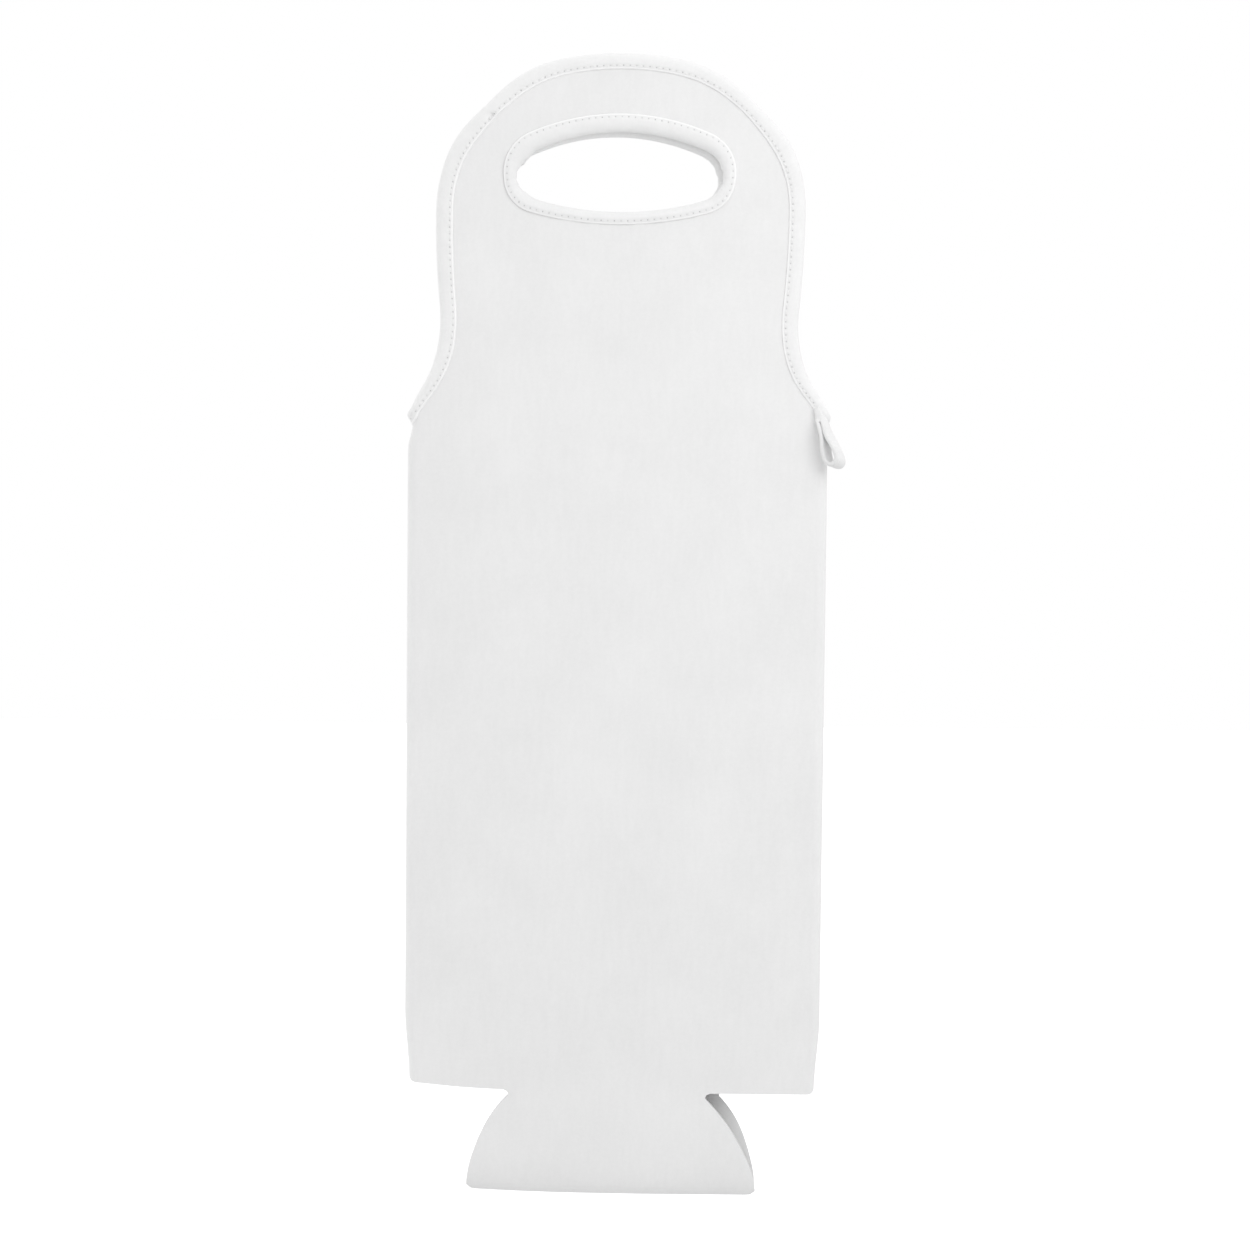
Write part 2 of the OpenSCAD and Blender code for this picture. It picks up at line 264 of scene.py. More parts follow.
@dataclass(frozen=True)
class HandleShape:
    """Driving sizes of the handle's outline.

    Attributes:
        side_inset: How far in from the sleeve's side the widest line lies.
        waist_cut: How far each side draws in at the waist.
        bow_rise: Height from the waist up to the widest line.
        crown_flat: How much lower the crown is than a half circle.
        crown_r: Radius of the crown.
        flare_r: Radius of the flare out to the sleeve.
        tail_r: Radius in which the edge turns from the flare into the side seam.
        tail_turn: Angle of that turn.
        grip_end_r: Radius of the hand hole's ends.
    """

    side_inset: float = 8.5 * MM
    waist_cut: float = 1.8 * MM
    bow_rise: float = 38.0 * MM
    crown_flat: float = 9.5 * MM
    crown_r: float = 106.6 * MM
    flare_r: float = 48.0 * MM
    tail_r: float = 5.0 * MM
    tail_turn: float = math.radians(42)
    grip_end_r: float = 9.0 * MM

    @property
    def tail_run(self) -> float:
        """Length of the edge from the side seam up to the handle's foot."""
        return self.tail_r * self.tail_turn

    def edge(self, layout: Layout) -> Outline:
        """Draw the handle's edge from the right side seam over the crown to the left one.

        Args:
            layout: Sizes of the carrier.

        Returns:
            The edge, made of nine arcs.
        """
        half = layout.half_width - self.side_inset
        rise = half - self.crown_flat
        bow_z = layout.crown - rise
        flare_x = half - self.waist_cut + self.flare_r
        waist_z = bow_z - self.bow_rise
        bow_r = (self.bow_rise**2 + self.waist_cut**2) / (2 * self.waist_cut) - self.flare_r
        bow_angle = math.asin(self.bow_rise / (bow_r + self.flare_r))
        flare_angle = math.asin((waist_z - layout.corner) / self.flare_r)
        shoulder_r = (2 * self.crown_r * rise - rise**2 - half**2) / (2 * (self.crown_r - half))
        shoulder_x = half - shoulder_r
        crown_z = layout.crown - self.crown_r
        arch = math.atan2(bow_z - crown_z, shoulder_x)
        tail_x = flare_x - (self.flare_r - self.tail_r) * math.cos(flare_angle)
        tail_z = waist_z - (self.flare_r - self.tail_r) * math.sin(flare_angle)
        tail_angle = flare_angle + self.tail_turn
        half_turn = math.pi
        return Outline([
            Arc((tail_x, tail_z), self.tail_r, half_turn + tail_angle, half_turn + flare_angle, -1),
            Arc((flare_x, waist_z), self.flare_r, half_turn + flare_angle, half_turn - bow_angle, -1),
            Arc((half - bow_r, bow_z), bow_r, -bow_angle, 0.0),
            Arc((shoulder_x, bow_z), shoulder_r, 0.0, arch),
            Arc((0.0, crown_z), self.crown_r, arch, half_turn - arch),
            Arc((-shoulder_x, bow_z), shoulder_r, half_turn - arch, half_turn),
            Arc((bow_r - half, bow_z), bow_r, half_turn, half_turn + bow_angle),
            Arc((-flare_x, waist_z), self.flare_r, bow_angle, -flare_angle, -1),
            Arc((-tail_x, tail_z), self.tail_r, -flare_angle, -tail_angle, -1),
        ])

    def grip(self, layout: Layout, centre: Pair) -> Outline:
        """Draw the edge of the hand hole, from its right end over the top.

        Args:
            layout: Sizes of the carrier.
            centre: Middle of the hole, as x and z.

        Returns:
            The edge, made of five arcs.
        """
        a, b, end_r = layout.grip_half_w, layout.grip_half_h, self.grip_end_r
        end_x = a - end_r
        long_r = (a**2 - 2 * a * end_r + b**2) / (2 * (b - end_r))
        drop = long_r - b
        turn = math.atan2(drop, end_x)
        x, z = centre
        return Outline([
            Arc((x + end_x, z), end_r, 0.0, turn, -1),
            Arc((x, z - drop), long_r, turn, math.pi - turn, -1),
            Arc((x - end_x, z), end_r, math.pi - turn, math.pi + turn, -1),
            Arc((x, z + drop), long_r, math.pi + turn, 2 * math.pi - turn, -1),
            Arc((x + end_x, z), end_r, -turn, 0.0, -1),
        ])


@dataclass(frozen=True)
class Drape:
    """How the soft carrier settles out of its flat drawing. Every piece is settled alike.

    A span holds two places. What it eases in is nothing at the first one and full at the second.

    Attributes:
        layout: Sizes of the carrier.
        taper: Share of its width that the sleeve loses down to its bottom edge.
        taper_drop: How far below the bottom edge the base has the whole taper.
        pinch: How far each bottom corner draws in.
        pinch_rise: Height over which it draws in.
        pinch_side: Span across in which it draws in.
        rise: How far the bottom edge is drawn up at its left corner.
        rise_start: Place across where it starts to be drawn up.
        rise_reach: Distance from there to the left corner.
        rise_power: How late on that distance it is drawn up.
        hem_lift: How far the whole bottom edge is drawn up.
        hem_rise: Height over which the shifts of the bottom edge fade.
        fold_drop: How much lower the fold of the base hangs than drawn.
        pillow: How far the middle of each wall stands out.
        belly_foot: Span above the bottom edge in which it starts to stand out.
        belly_head: Span above the top corners in which it stops.
        lean: How far each handle half leans in at the crown.
        lean_drop: How far below the crown it already leans in fully.
        ripple: Height of the slow waves in the foam.
        ripple_share: Share of the waves that runs out to the handle's edge.
        wave: Lengths of the waves, across and up.
        slow_wave: Lengths of the slower waves, across and up.
        sag: How far the two ends of the hand hole sag.
        sag_reach: Distance from the hole's middle to its ends.
        sag_rise: Span in height in which the foam round the hole sags.
        sag_side: Span across in which it sags.
        crown_shift: How far the crown leans to the right.
        foot_lift: How far the left and right ends of the tape are drawn up.
        foot_rise: Half the height over which they are drawn up.
        foot_side: Span across in which they are drawn up.
        foot_pull: How far the left end of the tape is drawn in.
        pull_rise: Half the height over which it is drawn in.
        pull_side: Span across in which it is drawn in.
        nip: How far the left and right sides draw in below the ends of the tape.
        nip_head: Span above the top corners in which they start to draw in.
        nip_foot: Span above the top corners in which they stop.
        nip_side: Span across in which they draw in.
        front_skew: How far the front half of the base lies to the right at its neck.
        back_skew: How far the back half of the base lies to the right at its neck.
        skew_side: Span across in which they do.
        back_shift: How far the back handle half lies to the left and down.
        back_rise: Span above the top corners in which it starts to.
        seam_turn: How far the right side seam turns to the front.
        turn_head: Span above the top corners in which it starts to turn.
        turn_foot: Height above the bottom edge at which it turns fully.
        turn_side: Span across in which it turns.
    """

    layout: Layout
    taper: float = 0.012
    taper_drop: float = 2 * MM
    pinch: float = 1.6 * MM
    pinch_rise: float = 26 * MM
    pinch_side: Pair = (40 * MM, 66 * MM)
    rise: float = 2.8 * MM
    rise_start: float = 40 * MM
    rise_reach: float = 107 * MM
    rise_power: float = 3.5
    hem_lift: float = 0.1 * MM
    hem_rise: float = 70 * MM
    fold_drop: float = 0.9 * MM
    pillow: float = 1.1 * MM
    belly_foot: Pair = (-4 * MM, 60 * MM)
    belly_head: Pair = (25 * MM, -45 * MM)
    lean: float = 1.0 * MM
    lean_drop: float = 25 * MM
    ripple: float = 0.45 * MM
    ripple_share: float = 0.25
    wave: Pair = (42 * MM, 55 * MM)
    slow_wave: Pair = (90 * MM, 120 * MM)
    sag: float = 1.6 * MM
    sag_reach: float = 35 * MM
    sag_rise: Pair = (42 * MM, 24 * MM)
    sag_side: Pair = (60 * MM, 44 * MM)
    crown_shift: float = 0.7 * MM
    foot_lift: Pair = (1.3 * MM, 1.9 * MM)
    foot_rise: float = 10 * MM
    foot_side: Pair = (46 * MM, 66 * MM)
    foot_pull: float = 0.75 * MM
    pull_rise: float = 6 * MM
    pull_side: Pair = (-64 * MM, -71 * MM)
    nip: Pair = (1.2 * MM, 0.5 * MM)
    nip_head: Pair = (-2 * MM, -5.5 * MM)
    nip_foot: Pair = (-13 * MM, -6 * MM)
    nip_side: Pair = (58 * MM, 69 * MM)
    front_skew: float = -1.6 * MM
    back_skew: float = 3.2 * MM
    skew_side: Pair = (66 * MM, 46 * MM)
    back_shift: Pair = (-0.6 * MM, -0.3 * MM)
    back_rise: Pair = (8 * MM, 62 * MM)
    seam_turn: float = 1.3 * MM
    turn_head: Pair = (-90 * MM, -125 * MM)
    turn_foot: float = 30 * MM
    turn_side: Pair = (61 * MM, 68 * MM)

    SLOW_SEED = 3000.0

    def settle(self, point: Vector) -> Vector:
        """Move one point to where the soft carrier holds it.

        Args:
            point: The point of the flat drawing.

        Returns:
            The point of the settled carrier.
        """
        lay = self.layout
        outward = min(max(point.y / (lay.outer - lay.sheet), -1.0), 1.0)
        above_bottom, above_corner = point.z - lay.bottom, point.z - lay.corner
        offset = self.bottom_shift(point) + self.handle_shift(point) + self.layer_shift(point, outward)

        crosswise = max(0.0, 1.0 - (point.x / lay.half_width) ** 2)
        belly = ease(*self.belly_foot, above_bottom) * ease(*self.belly_head, above_corner)
        lean = ease(lay.corner, lay.crown - self.lean_drop, point.z)
        offset.y += outward * (self.pillow * crosswise * belly - self.lean * lean)
        offset.y += self.ripple * self.wave_at(point, outward) * max(crosswise, self.ripple_share * lean)

        turn = ease(*self.turn_head, above_corner) * ease(0.0, self.turn_foot, above_bottom)
        offset.y -= self.seam_turn * turn * ease(*self.turn_side, point.x)
        return point + offset

    def wave_at(self, point: Vector, outward: float) -> float:
        """Give the height of the foam's waves at a point.

        Args:
            point: The point of the flat drawing.
            outward: From -1 on the front layer to 1 on the back layer.

        Returns:
            The height, for waves that are 1 high.
        """
        quick = Vector((point.x / self.wave[0], 3 * outward, point.z / self.wave[1]))
        slow = Vector((point.x / self.slow_wave[0] + self.SLOW_SEED, outward, point.z / self.slow_wave[1]))
        return noise.noise(quick) + noise.noise(slow)

    def bottom_shift(self, point: Vector) -> Vector:
        """Work out how far the lower sleeve and the base are drawn out of shape.

        Args:
            point: The point of the flat drawing.

        Returns:
            The shift.
        """
        lay = self.layout
        above = point.z - lay.bottom
        taper = ease(lay.fold, lay.bottom - self.taper_drop, point.z)
        taper *= ease(lay.corner, lay.bottom, point.z)
        pinch = ease(self.pinch_rise, 0.0, above) * ease(lay.fold, lay.bottom, point.z)
        pinch *= ease(*self.pinch_side, abs(point.x))
        x = -point.x * self.taper * taper - math.copysign(self.pinch, point.x) * pinch
        left = max(0.0, self.rise_start - point.x) / self.rise_reach
        z = (self.hem_lift + self.rise * left**self.rise_power) * ease(self.hem_rise, 0.0, above)
        z -= self.fold_drop * ease(lay.bottom, lay.fold, point.z)
        return Vector((x, 0.0, z))

    def handle_shift(self, point: Vector) -> Vector:
        """Work out how far the handle and the corners below it are drawn out of shape.

        Args:
            point: The point of the flat drawing.

        Returns:
            The shift.
        """
        lay = self.layout
        above, aside = point.z - lay.corner, abs(point.x)
        hole = ease(*self.sag_rise, abs(point.z)) * ease(*self.sag_side, aside)
        sag = self.sag * hole * (point.x / self.sag_reach) ** 2
        nip = ease(*self.nip_head, above) * ease(*self.nip_foot, above) * ease(*self.nip_side, aside)
        reach = self.nip[0] if point.x < 0 else -self.nip[1]
        shift = self.crown_shift * ease(lay.corner, lay.crown, point.z)
        shift += self.foot_pull * ease(*self.pull_side, point.x) * bell(above, 0.0, self.pull_rise)
        lift = self.foot_lift[point.x > 0] * ease(*self.foot_side, aside)
        return Vector((reach * nip + shift, 0.0, lift * bell(above, 0.0, self.foot_rise) - sag))

    def layer_shift(self, point: Vector, outward: float) -> Vector:
        """Work out how far the front or back layer has slid over the other.

        Args:
            point: The point of the flat drawing.
            outward: From -1 on the front layer to 1 on the back layer.

        Returns:
            The shift within the layer.
        """
        lay = self.layout
        skew = ease(lay.fold, lay.bottom, point.z) * ease(self.hem_rise, 0.0, point.z - lay.bottom)
        skew *= ease(*self.skew_side, abs(point.x))
        x = skew * (self.back_skew * max(outward, 0.0) + self.front_skew * max(-outward, 0.0))
        back = max(outward, 0.0) * ease(*self.back_rise, point.z - lay.corner)
        return Vector((x + self.back_shift[0] * back, 0.0, self.back_shift[1] * back))


@dataclass(frozen=True)
class Wrap:
    """Lays the flat pattern of a foam sheet round the carrier.

    A pattern point has s across, z up and a depth out of the sheet's face. Beyond the flat
    part of the sleeve the sheet curls in to the crease of the side seam.

    Attributes:
        layout: Sizes of the carrier.
        drape: How the carrier settles.
        round_r: Radius of the sheet's outer face where it curls in to the seam.
        crease_turn: Angle through which the face curls before it ends in the crease.
        corner_r: Rounding of the sleeve's bottom corners.
        uncurl: Height above and below the top corners over which the curl fades.
    """

    layout: Layout
    drape: Drape
    round_r: float = 3.6 * MM
    crease_turn: float = math.radians(119)
    corner_r: float = 2.1 * MM
    uncurl: Pair = (5.0 * MM, 7.0 * MM)

    @property
    def flat_half(self) -> float:
        """Half the width of the sleeve that stays flat."""
        return self.layout.half_width - self.round_r

    @property
    def pattern_half(self) -> float:
        """Half the width of the sleeve's flat pattern, out to the crease."""
        return self.flat_half + self.round_r * self.crease_turn

    def place(self, s: float, z: float, depth: float, side: Side) -> Vector:
        """Lay one pattern point on the carrier.

        Args:
            s: Distance across the pattern from its middle.
            z: Height.
            depth: Distance out of the sheet's outer face, below 0 inside the sheet.
            side: The layer that the sheet belongs to.

        Returns:
            The point on the settled carrier.
        """
        lay = self.layout
        low, high = self.uncurl
        bend = (1.0 - ease(lay.corner - low, lay.corner + high, z)) / self.round_r
        along = abs(s) - self.flat_half
        if along <= 0 or bend < 1.0:
            x, y = abs(s), lay.outer + depth
        else:
            angle = bend * along
            x = self.flat_half + math.sin(angle) * (1 / bend + depth)
            y = lay.outer - 1 / bend + math.cos(angle) * (1 / bend + depth)
        over = min(max(0.0, x - lay.half_width + self.corner_r), self.corner_r)
        lift = self.corner_r - math.sqrt(self.corner_r**2 - over**2)
        z += lift * math.exp(-max(z - lay.bottom, 0.0) / self.corner_r)
        return self.drape.settle(Vector((math.copysign(x, s), side.value * y, z)))


# Finishes


class Nodes:
    """Adds and links the nodes of one shader tree."""

    def __init__(self, tree: NodeTree) -> None:
        """Work on a tree."""
        self.tree = tree

    def add(self, kind: str, inputs: dict | None = None, **settings: object) -> Node:
        """Add one node.

        Args:
            kind: The node's type without its ShaderNode prefix.
            inputs: Sockets by name or index, each with a value or a socket to link from.
            settings: Attributes of the node.

        Returns:
            The new node.
        """
        prefix = "" if kind.startswith("NodeGroup") else "ShaderNode"
        node = self.tree.nodes.new(prefix + kind)
        for name, value in settings.items():
            setattr(node, name, value)
        self.connect(node, inputs or {})
        return node

    def maths(self, operation: str, *values: object) -> NodeSocket:
        """Add a Math node and return its output."""
        return self.add("Math", dict(enumerate(values)), operation=operation).outputs[0]

    def group(self, tree: NodeTree, inputs: dict) -> Node:
        """Place a node group.

        Args:
            tree: The node group.
            inputs: Sockets by name, each with a value or a socket to link from.

        Returns:
            The new node.
        """
        node = self.tree.nodes.new("ShaderNodeGroup")
        node.node_tree = tree
        self.connect(node, inputs)
        return node

    def connect(self, node: Node, inputs: dict) -> None:
        """Set or link the inputs of a node.

        Args:
            node: The node.
            inputs: Sockets by name or index, each with a value or a socket to link from.
        """
        for key, value in inputs.items():
            if isinstance(value, NodeSocket):
                self.tree.links.new(value, node.inputs[key])
            else:
                node.inputs[key].default_value = value


class Coat(Nodes):
    """The nodes round the shader of one material."""

    def __init__(self, name: str) -> None:
        """Start a material.

        Args:
            name: Name of the material.
        """
        self.material = bpy.data.materials.new(name)
        self.material.use_nodes = True
        super().__init__(self.material.node_tree)
        self.shader = self.tree.nodes["Principled BSDF"]

    def dress(self, level: NodeSocket, height: NodeSocket, relief: float, settings: dict) -> None:
        """Give the shader its grey, its relief and its settings.

        Args:
            level: Linear grey of the surface.
            height: Height of the surface, from 0 to 1.
            relief: Height that a height of 1 stands for.
            settings: The shader's other inputs by name.
        """
        grey = self.add("CombineColor", {i: level for i in range(3)})
        bump = self.add("Bump", {"Height": height, "Strength": 1.0, "Distance": relief})
        self.connect(self.shader, {"Base Color": grey.outputs[0], "Normal": bump.outputs[0], **settings})


def start_group(name: str, inputs: dict[str, float], outputs: Sequence[str]) -> Nodes:
    """Start a node group that has a Vector input.

    Args:
        name: Name of the group.
        inputs: Its other inputs, each a number with its default.
        outputs: Its outputs, each a number.

    Returns:
        The nodes of the group.
    """
    group = bpy.data.node_groups.new(name, "ShaderNodeTree")
    group.interface.new_socket("Vector", in_out="INPUT", socket_type="NodeSocketVector")
    for socket, default in inputs.items():
        made = group.interface.new_socket(socket, in_out="INPUT", socket_type="NodeSocketFloat")
        made.default_value = default
    for socket in outputs:
        group.interface.new_socket(socket, in_out="OUTPUT", socket_type="NodeSocketFloat")
    return Nodes(group)


def knit_group() -> NodeTree:
    """Build the group that draws the knit loops of a fabric face.

    Returns:
        A group with a Vector in metres, Wale and Course pitches in metres and a Wander in
        pitches, and the Height and Shade of the loops, both from 0 to 1. Shade is painted
        shade: lighter on the loops' tops and darker in their hollows, in random patches.
    """
    pitches = {"Wale": 0.0005, "Course": 0.0004, "Wander": 0.3}
    nodes = start_group("Knit loops", pitches, ("Height", "Shade"))
    drift_scale, patch_scale = 260.0, 900.0
    slant_share, rib_share, loop_share = 1.6, 0.6, 0.2
    source = nodes.add("NodeGroupInput").outputs
    across = nodes.add("SeparateXYZ", {0: source["Vector"]}).outputs
    drift = nodes.add("TexNoise", {"Vector": source["Vector"], "Scale": drift_scale, "Detail": 1.0})
    sway = nodes.maths("MULTIPLY", nodes.maths("SUBTRACT", drift.outputs["Fac"], 0.5), source["Wander"])
    column = nodes.maths("ADD", nodes.maths("DIVIDE", across["X"], source["Wale"]), sway)
    row = nodes.maths("ADD", nodes.maths("DIVIDE", across["Z"], source["Course"]), sway)
    leg = nodes.maths("PINGPONG", column, 0.5)
    rib = nodes.maths("ABSOLUTE", nodes.maths("SINE", nodes.maths("MULTIPLY", column, math.tau)))
    slant = nodes.maths("ADD", row, nodes.maths("MULTIPLY", leg, slant_share))
    loop = nodes.maths("SINE", nodes.maths("MULTIPLY", slant, math.tau))
    ridge = nodes.maths("MULTIPLY_ADD", loop, loop_share, loop_share)
    height = nodes.maths("ADD", nodes.maths("MULTIPLY", rib, rib_share), ridge)
    patch = nodes.add("TexNoise", {"Vector": source["Vector"], "Scale": patch_scale, "Detail": 2.0})
    # Painted shade: the loops' tops are lighter and their hollows darker, in random patches.
    shade = nodes.maths("MULTIPLY", patch.outputs["Fac"], height)
    nodes.add("NodeGroupOutput", {"Height": height, "Shade": shade})
    return nodes.tree


def mottle_group() -> NodeTree:
    """Build the group that gives a pale fabric its slow, faint unevenness.

    Returns:
        A group with a Vector in metres and a Size in metres, and a Tone from 0 to 1.
    """
    nodes = start_group("Fabric mottle", {"Size": 0.02}, ("Tone",))
    streak_length, streak_fineness, streak_share = 0.22, 14.0, 0.35
    source = nodes.add("NodeGroupInput").outputs
    scale = nodes.maths("DIVIDE", 1.0, source["Size"])
    cloud = nodes.add("TexNoise", {"Vector": source["Vector"], "Scale": scale, "Detail": 3.0})
    squeeze = {"Vector": source["Vector"], "Scale": (1.0, 1.0, streak_length)}
    stretch = nodes.add("Mapping", squeeze, vector_type="POINT")
    fine = nodes.maths("MULTIPLY", scale, streak_fineness)
    streak = nodes.add("TexNoise", {"Vector": stretch.outputs[0], "Scale": fine, "Detail": 2.0})
    streaks = nodes.maths("MULTIPLY", streak.outputs["Fac"], streak_share)
    tone = nodes.maths("MULTIPLY_ADD", cloud.outputs["Fac"], 1.0 - streak_share, streaks)
    nodes.add("NodeGroupOutput", {"Tone": tone})
    return nodes.tree


def needle_group() -> NodeTree:
    """Build the group that paints shade into the needle holes of a sewn row.

    Returns:
        A group with a Vector whose X runs along the row and whose Z is the distance from it,
        both in metres, a Pitch and a Radius, and a Mask that is 1 in the holes.
    """
    nodes = start_group("Needle hole shade", {"Pitch": 0.0022, "Radius": 0.0003}, ("Mask",))
    pull_scale, pull_low, pull_high, least_mask = 420.0, 0.35, 0.6, 0.4
    source = nodes.add("NodeGroupInput").outputs
    place = nodes.add("SeparateXYZ", {0: source["Vector"]}).outputs
    half = nodes.maths("MULTIPLY", source["Pitch"], 0.5)
    beside = nodes.maths("PINGPONG", nodes.maths("ADD", place["X"], half), half)
    along = nodes.maths("SUBTRACT", half, beside)
    spot = nodes.add("CombineXYZ", {"X": along, "Z": place["Z"]}).outputs[0]
    far = nodes.add("VectorMath", {0: spot}, operation="LENGTH").outputs["Value"]
    inner = nodes.maths("MULTIPLY", source["Radius"], 0.5)
    mask = nodes.add(
        "MapRange",
        {"Value": far, "From Min": source["Radius"], "From Max": inner},
        interpolation_type="SMOOTHSTEP",
    )
    pull = nodes.add("TexNoise", {"Vector": source["Vector"], "Scale": pull_scale, "Detail": 0.0})
    spread = {"From Min": pull_low, "From Max": pull_high, "To Min": least_mask}
    uneven = nodes.add("MapRange", {"Value": pull.outputs["Fac"], **spread})
    nodes.add("NodeGroupOutput", {"Mask": nodes.maths("MULTIPLY", mask.outputs[0], uneven.outputs[0])})
    return nodes.tree


class Finish(Enum):
    """The carrier's finishes, by the names of their materials."""

    FOAM = "knit_faced_foam"
    CORE = "cut_foam"
    TAPE = "binding_tape"
    RIBBON = "loop_tape"
    THREAD = "sewing_thread"

    @property
    def material(self) -> Material:
        """The finish's material, once it is built."""
        return bpy.data.materials[self.value]


class Pattern(Enum):
    """The space in which a finish lays its pattern."""

    OBJECT = "Object"
    UV = "UV"


@dataclass(frozen=True)
class Fabric:
    """A knitted or woven pale finish.

    Attributes:
        finish: The finish that it makes.
        pale: Linear grey of the lightest fibres.
        dull_and_shade_grey: Linear grey of the darker mottle patches and of the painted shade in the
            hollows of the pattern.
        wale: Pitch of the pattern across.
        course: Pitch of the pattern along.
        relief: Height of the loops.
        wander: How far the loops stray, in pitches.
        mottle: Size of the uneven patches.
        roughness: Roughness of the surface.
        sheen: Weight of the soft light that loose fibres catch.
        sheen_roughness: Roughness of that light.
        specular: Strength of the surface's own reflection.
        knit_share: Share of the tone that the knit's painted shade gives, beside the mottle.
        tones: Tones at which the grey is darkest and palest.
        pattern: The space in which the pattern lies.
        needle_pitch: Pitch of the needle holes of a row at 0 across, or 0 for none.
        needle_painted_shade: How much darker the painted shade makes the needle holes.
        selvage: Distance from the row at which the painted highlight on the free edge starts, or 0 for
            none.
        selvage_soft: Distance over which the painted highlight on the free edge fades in.
        selvage_highlight: Linear grey of the painted highlight on the free edge.
    """

    finish: Finish
    pale: float
    dull_and_shade_grey: float
    wale: float
    course: float
    relief: float
    wander: float = 0.35
    mottle: float = 24 * MM
    roughness: float = 0.9
    sheen: float = 0.12
    sheen_roughness: float = 0.6
    specular: float = 0.25
    knit_share: float = 0.4
    tones: Pair = (0.25, 0.6)
    pattern: Pattern = Pattern.OBJECT
    needle_pitch: float = 0.0
    needle_painted_shade: float = 0.3
    selvage: float = 0.0
    selvage_soft: float = 0.2 * MM
    selvage_highlight: float = 0.98

    def build(self, groups: dict[str, NodeTree]) -> None:
        """Make the material with its knit, its mottle, its needle holes and its bump, with painted shade
        in the knit's hollows and in the needle holes and a painted highlight along the free edge.

        Args:
            groups: The shared node groups by name.
        """
        nodes = Coat(self.finish.value)
        place = nodes.add("TexCoord").outputs[self.pattern.value]
        if self.pattern is Pattern.UV:
            turn = nodes.add("SeparateXYZ", {0: place}).outputs
            place = nodes.add("CombineXYZ", {"X": turn["X"], "Z": turn["Y"]}).outputs[0]
        sizes = {"Vector": place, "Wale": self.wale, "Course": self.course, "Wander": self.wander}
        knit = nodes.group(groups["knit"], sizes).outputs
        cloud = nodes.group(groups["mottle"], {"Vector": place, "Size": self.mottle}).outputs
        # The knit's share of the tone is the painted shade of its loops.
        loops = nodes.maths("MULTIPLY", knit["Shade"], self.knit_share)
        tone = nodes.maths("MULTIPLY_ADD", cloud["Tone"], 1.0 - self.knit_share, loops)
        low, high = self.tones
        greys = {"From Min": low, "From Max": high, "To Min": self.dull_and_shade_grey, "To Max": self.pale}
        level = nodes.add("MapRange", {"Value": tone, **greys}).outputs[0]
        # Painted shade in the needle holes, which darkens them along the row.
        if self.needle_pitch > 0:
            row = {"Vector": place, "Pitch": self.needle_pitch}
            holes = nodes.group(groups["needle"], row).outputs
            keep = nodes.maths("MULTIPLY_ADD", holes["Mask"], -self.needle_painted_shade, 1.0)
            level = nodes.maths("MULTIPLY", level, keep)
        # Painted highlight: the tape's free edge is drawn paler, as if it caught the light.
        if self.selvage > 0:
            across = nodes.add("SeparateXYZ", {0: place}).outputs["Z"]
            edge = {"From Min": self.selvage, "From Max": self.selvage + self.selvage_soft}
            greys = {"To Min": level, "To Max": self.selvage_highlight}
            level = nodes.add("MapRange", {"Value": across, **edge, **greys}, clamp=True).outputs[0]
        settings = {
            "Roughness": self.roughness,
            "Sheen Weight": self.sheen,
            "Sheen Roughness": self.sheen_roughness,
            "Specular IOR Level": self.specular,
        }
        nodes.dress(level, knit["Height"], self.relief, settings)


@dataclass(frozen=True)
class CutFoam:
    """The open-celled look of the foam where the sheet is cut.

    Attributes:
        finish: The finish that it makes.
        pale: Linear grey of the cell walls.
        dull_and_shade_grey: Linear grey of the painted shade in the cells.
        cell: Size of a cell.
        wall: Distance from a cell's middle, in cells, at which its wall is pale.
        relief: Depth of the cells.
        roughness: Roughness of the surface.
        specular: Strength of the surface's own reflection.
    """

    finish: Finish = Finish.CORE
    pale: float = 0.80
    dull_and_shade_grey: float = 0.62
    cell: float = 0.35 * MM
    wall: float = 0.7
    relief: float = 0.1 * MM
    roughness: float = 0.95
    specular: float = 0.2

    def build(self) -> None:
        """Make the material with its cells, painted shade in their hollows, and its bump."""
        nodes = Coat(self.finish.value)
        place = nodes.add("TexCoord").outputs["Object"]
        cells = nodes.add("TexVoronoi", {"Vector": place, "Scale": 1.0 / self.cell}).outputs["Distance"]
        # Painted shade: each cell is darker towards its middle and paler at its wall.
        greys = {"From Min": 0.0, "From Max": self.wall, "To Min": self.dull_and_shade_grey, "To Max": self.pale}
        level = nodes.add("MapRange", {"Value": cells, **greys}).outputs[0]
        settings = {"Roughness": self.roughness, "Specular IOR Level": self.specular}
        nodes.dress(level, cells, self.relief, settings)


def make_finishes() -> None:
    """Build the node groups and the material of every finish."""
    groups = {"knit": knit_group(), "mottle": mottle_group(), "needle": needle_group()}
    CutFoam().build()
    Fabric(
        Finish.TAPE, 0.905, 0.85, 0.45 * MM, 0.5 * MM, 0.035 * MM,
        wander=0.25, mottle=9 * MM, roughness=0.82, sheen=0.2, pattern=Pattern.UV,
        needle_pitch=Stitch.pitch, selvage=0.55 * MM,
    ).build(groups)
    Fabric(
        Finish.RIBBON, 0.87, 0.8, 0.4 * MM, 0.4 * MM, 0.03 * MM,
        wander=0.2, mottle=6 * MM, roughness=0.85, sheen=0.15, pattern=Pattern.UV,
    ).build(groups)
    Fabric(Finish.FOAM, 0.88, 0.82, 0.55 * MM, 0.42 * MM, 0.03 * MM).build(groups)
    Fabric(
        Finish.THREAD, 0.95, 0.88, 0.18 * MM, 0.22 * MM, 0.03 * MM,
        wander=0.1, mottle=3 * MM, roughness=0.6, sheen=0.1,
    ).build(groups)


# Making pieces


WELD = 0.01 * MM
Spot = Callable[[float, float], Vector]
Unroll = Callable[[float, float], Sequence[float]]
Lay = Callable[[float, float, float], Vector]


